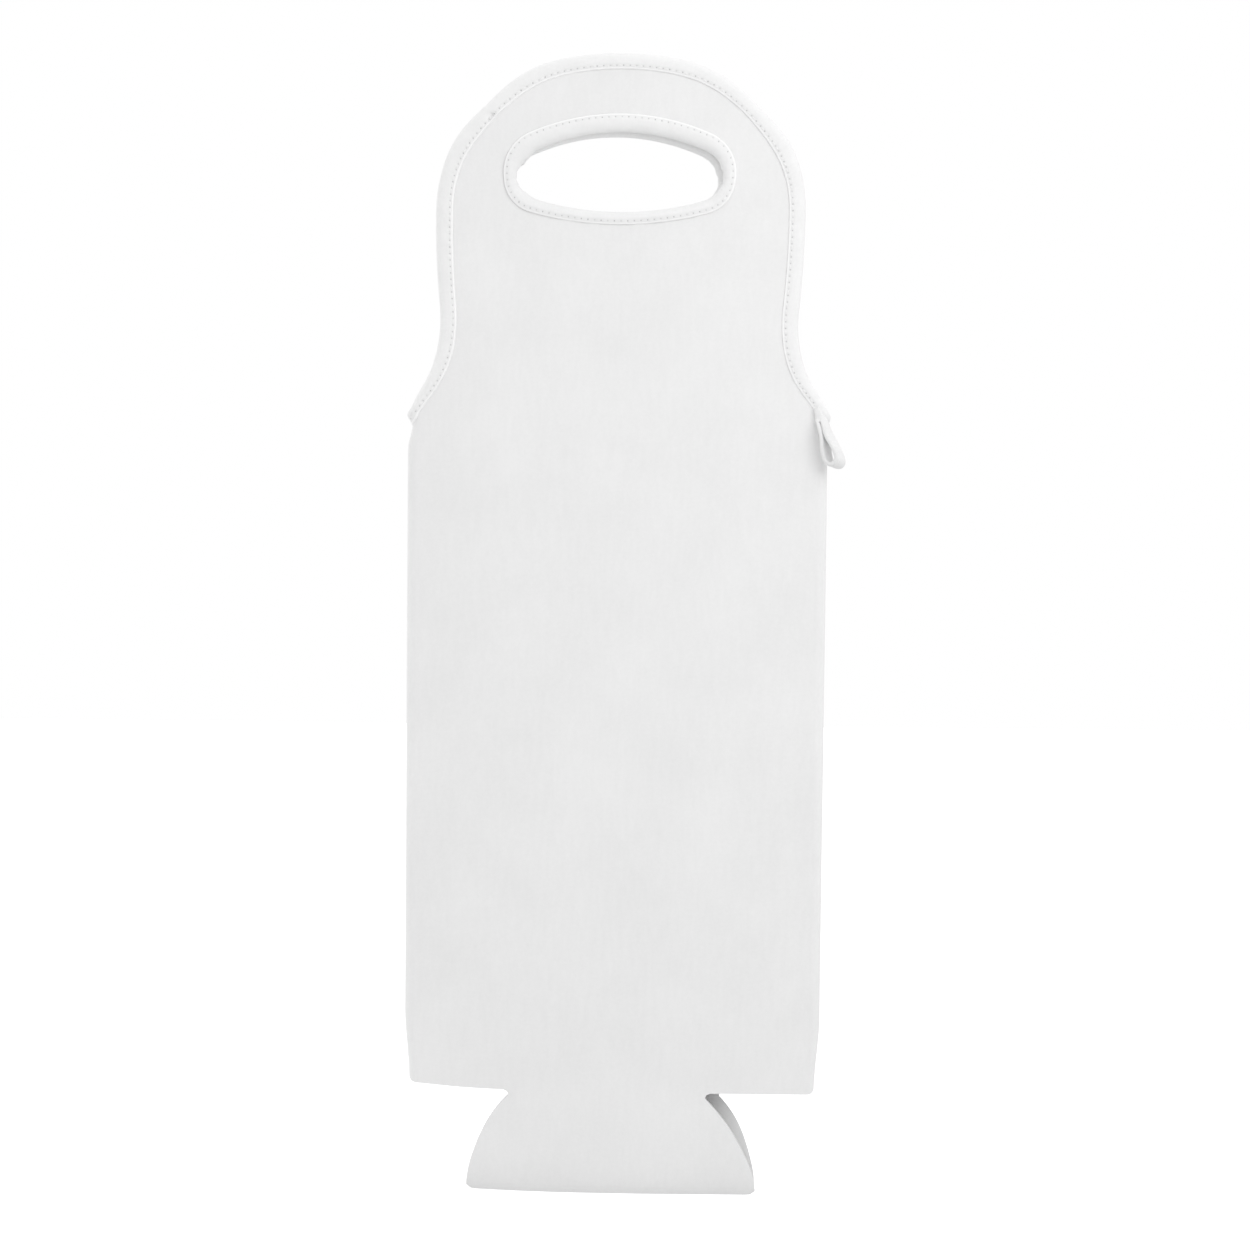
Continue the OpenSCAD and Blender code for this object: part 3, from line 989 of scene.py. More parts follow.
def lay_grid(
    mesh: BMesh, columns: int, rows: int, place: Spot, unroll: Unroll, flip: bool = False
) -> None:
    """Add a grid to a mesh, unroll it for its UV map and move it into place.

    Args:
        mesh: The mesh.
        columns: Number of faces across.
        rows: Number of faces up.
        place: Gives the point for a place on the grid, with both shares from 0 to 1.
        unroll: Gives the UV, in metres, for the same place.
        flip: True where the faces have to be turned to point outwards.
    """
    uv = mesh.loops.layers.uv.verify()
    made = bmesh.ops.create_grid(mesh, x_segments=columns, y_segments=rows, size=1.0)["verts"]
    for vert in made:
        spot = ((vert.co.x + 1) / 2, (vert.co.y + 1) / 2)
        flat = unroll(*spot)
        for loop in vert.link_loops:
            loop[uv].uv = flat
        vert.co = place(*spot)
    if flip:
        faces = {face for vert in made for face in vert.link_faces}
        bmesh.ops.reverse_faces(mesh, faces=list(faces))


def put_in_scene(name: str, data: bpy.types.ID) -> Object:
    """Make an object and link it to the scene.

    Args:
        name: Name of the object.
        data: Its mesh, camera or light.

    Returns:
        The object.
    """
    thing = bpy.data.objects.new(name, data)
    bpy.context.scene.collection.objects.link(thing)
    return thing


def finish_piece(
    mesh: BMesh,
    name: str,
    finishes: Sequence[Finish],
    wall: float = 0.0,
    crisp: float = math.radians(50),
) -> Object:
    """Turn a mesh into a finished piece.

    Args:
        mesh: The mesh, which is freed.
        name: Name of the piece.
        finishes: Finishes of the piece, a second one for the cut rim of a wall.
        wall: Thickness that is added inside the mesh, or 0.
        crisp: Angle above which an edge stays sharp.

    Returns:
        The object, at the origin, with its modifiers applied.
    """
    data = bpy.data.meshes.new(name)
    mesh.to_mesh(data)
    mesh.free()
    piece = put_in_scene(name, data)
    for finish in finishes:
        data.materials.append(finish.material)
    if wall > 0:
        thick = piece.modifiers.new("wall", "SOLIDIFY")
        thick.thickness = wall
        thick.offset = -1.0
        thick.material_offset_rim = len(finishes) - 1
        graph = bpy.context.evaluated_depsgraph_get()
        solid = bpy.data.meshes.new_from_object(piece.evaluated_get(graph))
        piece.modifiers.clear()
        piece.data = solid
        bpy.data.meshes.remove(data)
        solid.name = name
    piece.data.shade_smooth()
    piece.data.set_sharp_from_angle(angle=crisp)
    log.info("%s: %d faces", name, len(piece.data.polygons))
    return piece


def finish_thread(mesh: BMesh, name: str) -> Object:
    """Turn a mesh of stitches into a finished piece."""
    bmesh.ops.recalc_face_normals(mesh, faces=mesh.faces)
    return finish_piece(mesh, name, [Finish.THREAD])


@dataclass(frozen=True)
class Stitch:
    """One visible length of thread between two needle holes.

    Attributes:
        length: Length of the stitch.
        width: Width of the thread as it lies.
        height: How far the thread stands up.
        dip: How far its ends go down into the needle holes.
        pitch: Distance from one stitch to the next.
        lift_share: Share of the height at which the thread's middle lies.
        facets: Faces round the thread, and along it.
    """

    length: float = 1.8 * MM
    width: float = 0.46 * MM
    height: float = 0.34 * MM
    dip: float = 0.34 * MM
    pitch: float = 2.2 * MM
    lift_share: float = 0.35
    facets: int = 6

    def sew(self, mesh: BMesh, lay: Lay, centre: float) -> None:
        """Add one stitch to a mesh.

        Args:
            mesh: The mesh that holds the row.
            lay: Gives the point at a run, a distance across and a height above the tape.
            centre: Run of the stitch's middle.
        """
        made = bmesh.ops.create_uvsphere(mesh, u_segments=self.facets, v_segments=self.facets, radius=1.0)
        for vert in made["verts"]:
            x, y, z = vert.co
            height = self.height * (self.lift_share + (1 - self.lift_share) * y) - self.dip * z * z
            vert.co = lay(centre + z * self.length / 2, x * self.width / 2, height)

    def row(self, mesh: BMesh, lay: Lay, start: float, stop: float) -> None:
        """Sew a row of stitches.

        Args:
            mesh: The mesh that holds the row.
            lay: Gives the point at a run, a distance across and a height above the tape.
            start: Run at which the row starts.
            stop: Run at which it ends.
        """
        count = max(1, round((stop - start) / self.pitch))
        for i in range(count):
            self.sew(mesh, lay, start + (stop - start) * (i + 0.5) / count)


# Sub-assemblies


def bend_handle(piece: Object, side: Side, layout: Layout) -> None:
    """Bake a piece's transform into its mesh.

    Args:
        piece: The piece.
        side: The layer that the handle half belongs to. Not used.
        layout: Sizes of the carrier. Not used.
    """
    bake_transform(piece)


@dataclass
class FoamSheet:
    """One wall of the sleeve and the handle half above it, cut as a single sheet.

    Attributes:
        side: The layer that the sheet makes.
        wrap: How the pattern lies on the carrier.
        edge: Edge of the handle.
        grip: Edge of the hand hole.
        columns: Faces across the flat part.
        curl_columns: Faces across each curled side.
        sleeve_rows: Faces up the sleeve.
        handle_rows: Faces up the handle.
        tuck: How far the foam's edge stays inside the fold of the tape.
        catch: How much farther in a point of the cut still moves out to that line.
        cut_drop: How far below the corners the handle's outline is still cut out.
    """

    side: Side
    wrap: Wrap
    edge: Outline
    grip: Outline
    columns: int = 78
    curl_columns: int = 11
    sleeve_rows: int = 150
    handle_rows: int = 80
    tuck: float = 0.9 * MM
    catch: float = 1.4 * MM
    cut_drop: float = 4.0 * MM

    def pattern(self, u: float, v: float) -> Vector:
        """Spread a grid over the pattern, with closer columns where the sheet curls.

        Args:
            u: Share of the way across the grid.
            v: Share of the way up.

        Returns:
            The place on the pattern, as s and z.
        """
        lay = self.wrap.layout
        flat_share = self.columns / (self.columns + 2 * self.curl_columns)
        flat = self.wrap.flat_half
        share = abs(2 * u - 1)
        if share <= flat_share:
            s = flat * share / flat_share
        else:
            s = flat + (self.wrap.pattern_half - flat) * (share - flat_share) / (1 - flat_share)
        row = v * (self.sleeve_rows + self.handle_rows)
        if row <= self.sleeve_rows:
            z = lay.bottom + (lay.corner - lay.bottom) * row / self.sleeve_rows
        else:
            z = lay.corner + (lay.crown - lay.corner) * (row - self.sleeve_rows) / self.handle_rows
        return Vector((math.copysign(s, u - 0.5), z, 0.0))

    def cut(self, mesh: BMesh) -> None:
        """Cut the handle's outline and the hand hole out of the pattern.

        Args:
            mesh: The flat pattern.
        """
        low = self.wrap.layout.corner - self.cut_drop
        waste = []
        for face in mesh.faces:
            centre = face.calc_center_median().to_2d()
            if centre.y < low:
                continue
            if min(self.edge.inset(centre)[0], self.grip.inset(centre)[0]) < self.tuck:
                waste.append(face)
        bmesh.ops.delete(mesh, geom=waste, context="FACES")
        for vert in mesh.verts:
            if not vert.is_boundary or vert.co.y < low:
                continue
            place = vert.co.to_2d()
            found = self.edge.inset(place), self.grip.inset(place)
            inset, near, out = min(found, key=lambda one: one[0])
            if inset < self.tuck + self.catch:
                vert.co = (near - self.tuck * out).to_3d()

    def build(self) -> Object:
        """Make the sheet of the sleeve wall and the handle half above it, in one piece.

        Returns:
            The finished sheet.
        """
        lay = self.wrap.layout
        mesh = bmesh.new()
        columns, rows = self.columns + 2 * self.curl_columns, self.sleeve_rows + self.handle_rows

        def unroll(u: float, v: float) -> Vector:
            """Unroll the sheet, which is its pattern."""
            return self.pattern(u, v).to_2d()

        lay_grid(mesh, columns, rows, self.pattern, unroll, flip=self.side is Side.BACK)
        self.cut(mesh)
        for vert in mesh.verts:
            vert.co = self.wrap.place(vert.co.x, vert.co.y, 0.0, self.side)
        word = self.side.word
        piece = finish_piece(mesh, f"{word}_foam_sheet", [Finish.FOAM, Finish.CORE], lay.sheet)
        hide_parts(f"{word}_sleeve_panel", f"{word}_handle_panel")
        bend_handle(piece, self.side, lay)
        return piece


@dataclass
class Binding:
    """Tape folded round an edge of the foam and sewn through with one row of stitches.

    On the way from the nose of the fold, at 0, to a free edge, at 1, the nose ends at NOSE, the
    stitches lie at ROW and the leg is as wide as it gets at EDGE. The row is measured in as many
    lengths as STATIONS says, and the needle holes reach no farther than SLACK past its ends. A
    CLOSED edge has a tape without ends. LEG_SEEDS are the places in the noise from which the
    puckers of the inner and the outer leg come, and the finer ones come from FINE_SEED further.

    Attributes:
        outline: The edge that the tape binds.
        side: The layer that the tape belongs to.
        wrap: How the pattern lies on the carrier.
        start: Run along the edge at which the tape starts.
        stop: Run at which it ends.
        width: Width of each leg of the tape.
        tape: Thickness of the tape.
        row_inset: Distance of the stitches from the tape's free edge.
        nose_share: Share of the width that the rounded nose of the fold takes up.
        puff: How far the tape puffs up between the nose and the stitches.
        puff_share: Where it puffs up most, as a share of the way from the nose to the stitches.
        groove: How deep the stitches pull the tape down.
        groove_w: Half the width over which they do.
        pit: How deep each needle hole is.
        pit_size: Half the length and half the width of a hole.
        thin_edge: How much thinner the tape is at its free edge.
        roll_in: How far the free edge rolls on past the leg's width.
        roll_share: Share of the tape's thickness by which it rolls down.
        pucker: Height of the puckers along the tape.
        pucker_size: Lengths of the puckers, along and across.
        fine_size: Lengths of the finer puckers, along and across.
        pucker_shares: Shares of the height that the puckers and the finer ones have.
        skin: Thickness of the modelled tape.
        crisp: Angle above which an edge of the tape stays sharp.
        fineness: Faces along the tape for each stitch.
        rows: Faces across the tape.
        stitch: The stitches.
    """

    outline: Outline
    side: Side
    wrap: Wrap
    start: float
    stop: float
    width: float = 5.3 * MM
    tape: float = 0.8 * MM
    row_inset: float = 0.95 * MM
    nose_share: float = 0.45
    puff: float = 0.18 * MM
    puff_share: float = 0.6
    groove: float = 0.18 * MM
    groove_w: float = 0.45 * MM
    pit: float = 0.36 * MM
    pit_size: Pair = (0.28 * MM, 0.26 * MM)
    thin_edge: float = 0.4 * MM
    roll_in: float = 0.22 * MM
    roll_share: float = 0.48
    pucker: float = 0.14 * MM
    pucker_size: Pair = (4.2 * MM, 3.0 * MM)
    fine_size: Pair = (1.6 * MM, 1.4 * MM)
    pucker_shares: Pair = (0.9, 0.4)
    skin: float = 0.6 * MM
    crisp: float = math.radians(80)
    fineness: int = 5
    rows: int = 30
    stitch: Stitch = Stitch()

    NOSE, ROW, EDGE = 0.4, 11 / 15, 0.9
    STATIONS = 600
    SLACK = 0.1 * MM
    LEG_SEEDS = (2.0, 7.0)
    FINE_SEED = 5.0
    CLOSED = False

    def __post_init__(self) -> None:
        """Measure the row of stitches, whose length differs from that of the edge."""
        spots = []
        for i in range(self.STATIONS + 1):
            run = self.start + (self.stop - self.start) * i / self.STATIONS
            point, out = self.outline.at(self.wrapped(run))
            spots.append(point - self.inset_at(self.ROW, self.wrapped(run)) * out)
        self.row_lengths = [0.0]
        for here, ahead in zip(spots, spots[1:]):
            self.row_lengths.append(self.row_lengths[-1] + (ahead - here).length)

    @property
    def row_length(self) -> float:
        """Length of the row of stitches."""
        return self.row_lengths[-1]

    @property
    def stitches(self) -> int:
        """Number of stitches in the row."""
        return round(self.row_length / self.stitch.pitch)

    @property
    def pitch(self) -> float:
        """Pitch that fits a whole number of stitches."""
        return self.row_length / self.stitches

    def sewn_at(self, run: float) -> float:
        """Measure the row of stitches up to a run along the edge.

        Args:
            run: Length along the edge.

        Returns:
            The length along the row.
        """
        place = min(max((run - self.start) / (self.stop - self.start), 0.0), 1.0) * self.STATIONS
        index = min(int(place), self.STATIONS - 1)
        before, after = self.row_lengths[index : index + 2]
        return before + (after - before) * (place - index)

    def run_at(self, sewn: float) -> float:
        """Find the place on the edge for a length of the row of stitches.

        Args:
            sewn: Length along the row.

        Returns:
            The length along the edge.
        """
        index = min(max(bisect_right(self.row_lengths, sewn), 1), self.STATIONS)
        before, after = self.row_lengths[index - 1 : index + 1]
        share = (index - 1 + (sewn - before) / (after - before)) / self.STATIONS
        return self.start + (self.stop - self.start) * share

    def width_at(self, run: float) -> float:
        """Return the width of the legs at a run along the edge."""
        return self.width

    def wrapped(self, run: float) -> float:
        """Return a run along the edge with whole turns taken off where the edge is closed."""
        return run

    def inset_at(self, share: float, run: float) -> float:
        """Give the distance in from the nose on the way from it to a free edge.

        Args:
            share: From 0 at the nose to 1 at the free edge, on either leg.
            run: Length along the edge.

        Returns:
            The distance in from the nose.
        """
        width = self.width_at(run)
        nose, row = self.nose_share * width, width - self.row_inset
        if share <= self.NOSE:
            return nose * (1 - math.cos(share / self.NOSE * math.pi / 2))
        if share <= self.ROW:
            return nose + (row - nose) * (share - self.NOSE) / (self.ROW - self.NOSE)
        return row + self.row_inset * min(1.0, (share - self.ROW) / (self.EDGE - self.ROW))

    def section(self, share: float, run: float) -> Pair:
        """Give the tape's outer face on its way round the foam's edge.

        Args:
            share: From -1 at the free edge on the inner leg to 1 at the one on the outer leg.
            run: Length along the edge.

        Returns:
            The distance in from the nose and the depth out of the sheet's outer face.
        """
        half = self.wrap.layout.sheet / 2 + self.tape
        a = abs(share)
        inset = self.inset_at(a, run)
        width = self.width_at(run)
        nose, row = self.nose_share * width, width - self.row_inset
        rise = half * math.sin(min(1.0, a / self.NOSE) * math.pi / 2)
        if a > self.EDGE:
            roll = (a - self.EDGE) / (1 - self.EDGE) * math.pi / 2
            inset += self.roll_in * math.sin(roll)
            rise -= self.roll_share * self.tape * (1 - math.cos(roll))
        fullest = nose + (row - nose) * self.puff_share
        rise += self.puff * bell(inset, fullest, row / 2) * min(1.0, a / (self.NOSE / 2))
        rise -= self.groove * bell(inset, row, self.groove_w)
        rise -= self.thin_edge * ease(row, width, inset)
        if self.start - self.SLACK <= run <= self.stop + self.SLACK:
            phase = self.sewn_at(run) / self.pitch
            beside = (phase - round(phase)) * self.pitch
            rise -= self.pit * bell(beside, 0.0, self.pit_size[0]) * bell(inset, row, self.pit_size[1])
        rise += self.crumple(run, inset, share)
        return inset, math.copysign(rise, share) - self.wrap.layout.sheet / 2

    def crumple(self, run: float, inset: float, share: float) -> float:
        """Give the height of the puckers that the stitches draw into the tape.

        Args:
            run: Length along the edge.
            inset: Distance in from the nose.
            share: Above 0 on the outer leg.

        Returns:
            The height.
        """
        seed = self.LEG_SEEDS[share > 0]
        along, across = self.pucker_size
        wide = noise.noise(Vector((run / along, inset / across, seed)))
        along, across = self.fine_size
        fine = noise.noise(Vector((run / along, inset / across, seed + self.FINE_SEED)))
        return self.pucker * (self.pucker_shares[0] * wide + self.pucker_shares[1] * fine)

    def lay(self, run: float, inset: float, depth: float) -> Vector:
        """Place a point of the tape.

        Args:
            run: Length along the edge.
            inset: Distance in from the nose.
            depth: Distance out of the sheet's outer face.

        Returns:
            The point on the settled carrier.
        """
        point, out = self.outline.at(self.wrapped(run))
        flat = point - inset * out
        return self.wrap.place(flat.x, flat.y, depth, self.side)

    def strip(
        self, mesh: BMesh, start: float, stop: float, columns: int,
        first: float = -1.0, flip: bool = False, sewn: bool = True,
    ) -> None:
        """Add a length of the tape to a mesh.

        Args:
            mesh: The mesh.
            start: Run at which the length starts.
            stop: Run at which it ends.
            columns: Faces along it.
            first: Share of the section at which it starts, -1 for the whole section.
            flip: True where the faces have to be turned to point outwards.
            sewn: True where the length is the whole row of stitches.
        """
        unrolled = self.stitches * self.stitch.pitch if sewn else stop - start

        def run_of(u: float) -> float:
            """Space the columns evenly along the row of stitches, if there is one."""
            return self.run_at(self.row_length * u) if sewn else start + (stop - start) * u

        def place(u: float, v: float) -> Vector:
            """Place one point of the tape's outer face."""
            run = run_of(u)
            return self.lay(run, *self.section(first + (1 - first) * v, self.wrapped(run)))

        def unroll(u: float, v: float) -> Pair:
            """Unroll the tape, with 0 across on the row of stitches."""
            run, share = self.wrapped(run_of(u)), abs(first + (1 - first) * v)
            return unrolled * u, self.inset_at(share, run) - self.inset_at(self.ROW, run)

        lay_grid(mesh, columns, round(self.rows * (1 - first) / 2), place, unroll, flip)

    def build_tape(self, name: str) -> Object:
        """Make the tape.

        Args:
            name: Name of the piece.

        Returns:
            The finished tape.
        """
        mesh = bmesh.new()
        flip = self.side is (Side.FRONT if self.CLOSED else Side.BACK)
        self.strip(mesh, self.start, self.stop, self.stitches * self.fineness, flip=flip)
        if self.CLOSED:
            bmesh.ops.remove_doubles(mesh, verts=mesh.verts, dist=WELD)
        return finish_piece(mesh, name, [Finish.TAPE], self.skin, self.crisp)

    def build_stitches(self, name: str) -> Object:
        """Make the rows of stitches on both legs.

        Args:
            name: Name of the piece.

        Returns:
            The finished stitches.
        """

        def lay(leg: float, sewn: float, across: float, height: float) -> Vector:
            """Place a point of a stitch on the tape.

            Args:
                leg: 1 on the outer leg, -1 on the inner one.
                sewn: Length along the row.
                across: Distance from the row.
                height: Height above the tape.

            Returns:
                The point on the settled carrier.
            """
            run = self.run_at(sewn)
            sheet, at = self.wrap.layout.sheet, self.wrapped(run)
            row = self.inset_at(self.ROW, at)
            base = sheet / 2 + self.tape - self.groove + self.crumple(at, row, leg)
            return self.lay(run, row + across, leg * (base + height) - sheet / 2)

        mesh = bmesh.new()
        for leg in (1.0, -1.0):
            self.stitch.row(mesh, partial(lay, leg), 0.0, self.row_length)
        return finish_thread(mesh, name)


@dataclass
class EdgeBinding(Binding):
    """The tape over the handle's edge, whose legs get narrower towards the side seams.

    On the front its two ends are joined on the left shoulder, where the tape is dented.
    SHOULDER is the place of that shoulder's arc in the edge.

    Attributes:
        narrowing: How much narrower the legs are at the seams.
        narrow_run: Length over which they get narrower.
        join_angle: Angle from the join to the end of the shoulder.
        join_inset: Distance of the join from the nose.
        join_dent: How deep the tape is dented at the join.
        dent_size: Half the length and half the width of the dent.
    """

    narrowing: float = 1.3 * MM
    narrow_run: float = 26 * MM
    join_angle: float = math.radians(44.5)
    join_inset: float = 4.1 * MM
    join_dent: float = 1.1 * MM
    dent_size: Pair = (1.2 * MM, 0.9 * MM)

    SHOULDER = 5

    @property
    def join(self) -> float:
        """Run along the edge at which the tape's two ends are joined."""
        arcs = self.outline.arcs
        before = sum(arc.length for arc in arcs[: self.SHOULDER + 1])
        return before - self.join_angle * arcs[self.SHOULDER].radius

    def crumple(self, run: float, inset: float, share: float) -> float:
        """Give the height of the puckers in the tape, and of the dent where it is joined.

        Args:
            run: Length along the edge.
            inset: Distance in from the nose.
            share: Above 0 on the outer leg.

        Returns:
            The height.
        """
        dent = 0.0
        if self.side is Side.FRONT and share > 0:
            dent = self.join_dent * bell(run, self.join, self.dent_size[0])
            dent *= bell(inset, self.join_inset, self.dent_size[1])
        return super().crumple(run, inset, share) - dent

    def width_at(self, run: float) -> float:
        """Return the width of the legs at a run along the edge."""
        free = min(run - self.start, self.stop - run)
        return self.width - self.narrowing * (1 - ease(0.0, self.narrow_run, free))


@dataclass
class GripBinding(Binding):
    """The tape round the hand hole, wider over its top and gathered at its ends.

    Attributes:
        top_width: Width of its legs over the top of the hole.
        top_turn: Span of the way up in which they get as wide.
        gather: How deep the nose is gathered at the hole's ends.
        gather_turn: Span of the way out in which it is gathered.
        gather_fold: Length of one gathered fold.
        full: Where the tape is fuller, as the angle of its way out, and by how much.
        full_turn: Half the angle over which it is fuller.
    """

    top_width: float = 5.8 * MM
    top_turn: Pair = (-0.2, 1.0)
    gather: float = 0.45 * MM
    gather_turn: Pair = (0.25, 0.8)
    gather_fold: float = 2.1 * MM
    nose_share: float = 0.46
    puff: float = 0.4 * MM
    pucker: float = 0.2 * MM
    full: Sequence[Pair] = (
        (math.radians(-45), 1.4 * MM), (math.radians(50), 0.9 * MM), (math.radians(132), 0.5 * MM),
    )
    full_turn: float = math.radians(24)

    CLOSED = True
    FOLD_SEED, FOLD_BIAS = 4.0, 0.3

    def wrapped(self, run: float) -> float:
        """Return a run along the edge with whole turns taken off."""
        return run % self.outline.length

    def width_at(self, run: float) -> float:
        """Return the width of the legs at a run along the edge."""
        _, out = self.outline.at(self.wrapped(run))
        return self.width + (self.top_width - self.width) * ease(*self.top_turn, -out.y)

    def inset_at(self, share: float, run: float) -> float:
        """Give the distance in from the nose, which is gathered at the hole's ends.

        Args:
            share: From 0 at the nose to 1 at the free edge, on either leg.
            run: Length along the edge.

        Returns:
            The distance in from the nose of a tape that isn't gathered.
        """
        _, out = self.outline.at(self.wrapped(run))
        gather = ease(*self.gather_turn, abs(out.x)) * ease(self.NOSE, 0.0, share)
        fold = noise.noise(Vector((run / self.gather_fold, self.FOLD_SEED, share * 2))) + self.FOLD_BIAS
        angle = math.atan2(out.y, out.x)
        full = sum(amount * bell(angle, at, self.full_turn) for at, amount in self.full)
        inset = super().inset_at(share, run) + self.gather * gather * fold
        return inset - full * ease(self.ROW, 0.0, share)


@dataclass
class HandleHalf:
    """One handle half: its bindings and their stitches.

    Attributes:
        side: The layer that the half belongs to.
        wrap: How the pattern lies on the carrier.
        shape: Driving sizes of the handle.
        grip_centre: Where the middle of this half's hand hole lies.
        grip_tape_w: Width of the tape round the hole, beside and below it.
    """

    side: Side
    wrap: Wrap
    shape: HandleShape
    grip_centre: Pair
    grip_tape_w: float = 4.1 * MM

    def __post_init__(self) -> None:
        """Draw the two edges and the tapes that bind them."""
        edge = self.shape.edge(self.wrap.layout)
        grip = self.shape.grip(self.wrap.layout, self.grip_centre)
        tail = self.shape.tail_run
        self.edge = EdgeBinding(edge, self.side, self.wrap, tail, edge.length - tail)
        self.grip = GripBinding(grip, self.side, self.wrap, 0.0, grip.length, width=self.grip_tape_w)

    def build(self) -> None:
        """Make the half's tapes and stitches."""
        word = self.side.word
        for binding, part in ((self.edge, "edge"), (self.grip, "grip")):
            tape = binding.build_tape(f"{word}_{part}_tape")
            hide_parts(f"{word}_{part}_binding")
            row = binding.build_stitches(f"{word}_{part}_stitches")
            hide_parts(f"{word}_{part}_thread")
            for piece in (tape, row):
                if part == "edge":
                    bend_handle(piece, self.side, self.wrap.layout)
                else:
                    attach(piece, f"{word}_handle")


@dataclass
class Backtack:
    """Dense stitches on the left shoulder, where the two ends of the edge tape are joined.

    Attributes:
        binding: The tape that they are sewn on.
        length: Length of the patch along the tape.
        count: Number of stitches.
        lean: How far a stitch's ends lie beside its middle, to one side and the other in turn.
        stitch: Shape of a stitch, which is as long as the patch is wide.
    """

    binding: EdgeBinding
    length: float = 3.0 * MM
    count: int = 8
    lean: float = 0.25 * MM
    stitch: Stitch = Stitch(length=2.2 * MM, width=0.36 * MM, height=0.22 * MM, dip=0.2 * MM)

    def place(self, number: int, along: float, across: float, height: float) -> Vector:
        """Place a point of one stitch.

        Args:
            number: Number of the stitch, from 0.
            along: Distance along the stitch, and so across the tape, from its middle.
            across: Distance across the stitch.
            height: Height above the tape.

        Returns:
            The point on the settled carrier.
        """
        edge = self.binding
        lean = self.lean if number % 2 else -self.lean
        run = edge.join + self.length * (number / (self.count - 1) - 0.5)
        run += across + 2 * lean * along / self.stitch.length
        inset = edge.join_inset + along
        return edge.lay(run, inset, edge.tape + edge.crumple(run, inset, 1.0) + height)

    def build(self) -> None:
        """Make the stitches, which lie across the tape in a zigzag."""
        mesh = bmesh.new()
        for number in range(self.count):
            self.stitch.sew(mesh, partial(self.place, number), 0.0)
        piece = finish_thread(mesh, "tape_join_stitches")
        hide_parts("front_tape_backtack")
        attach(piece, "front_handle")


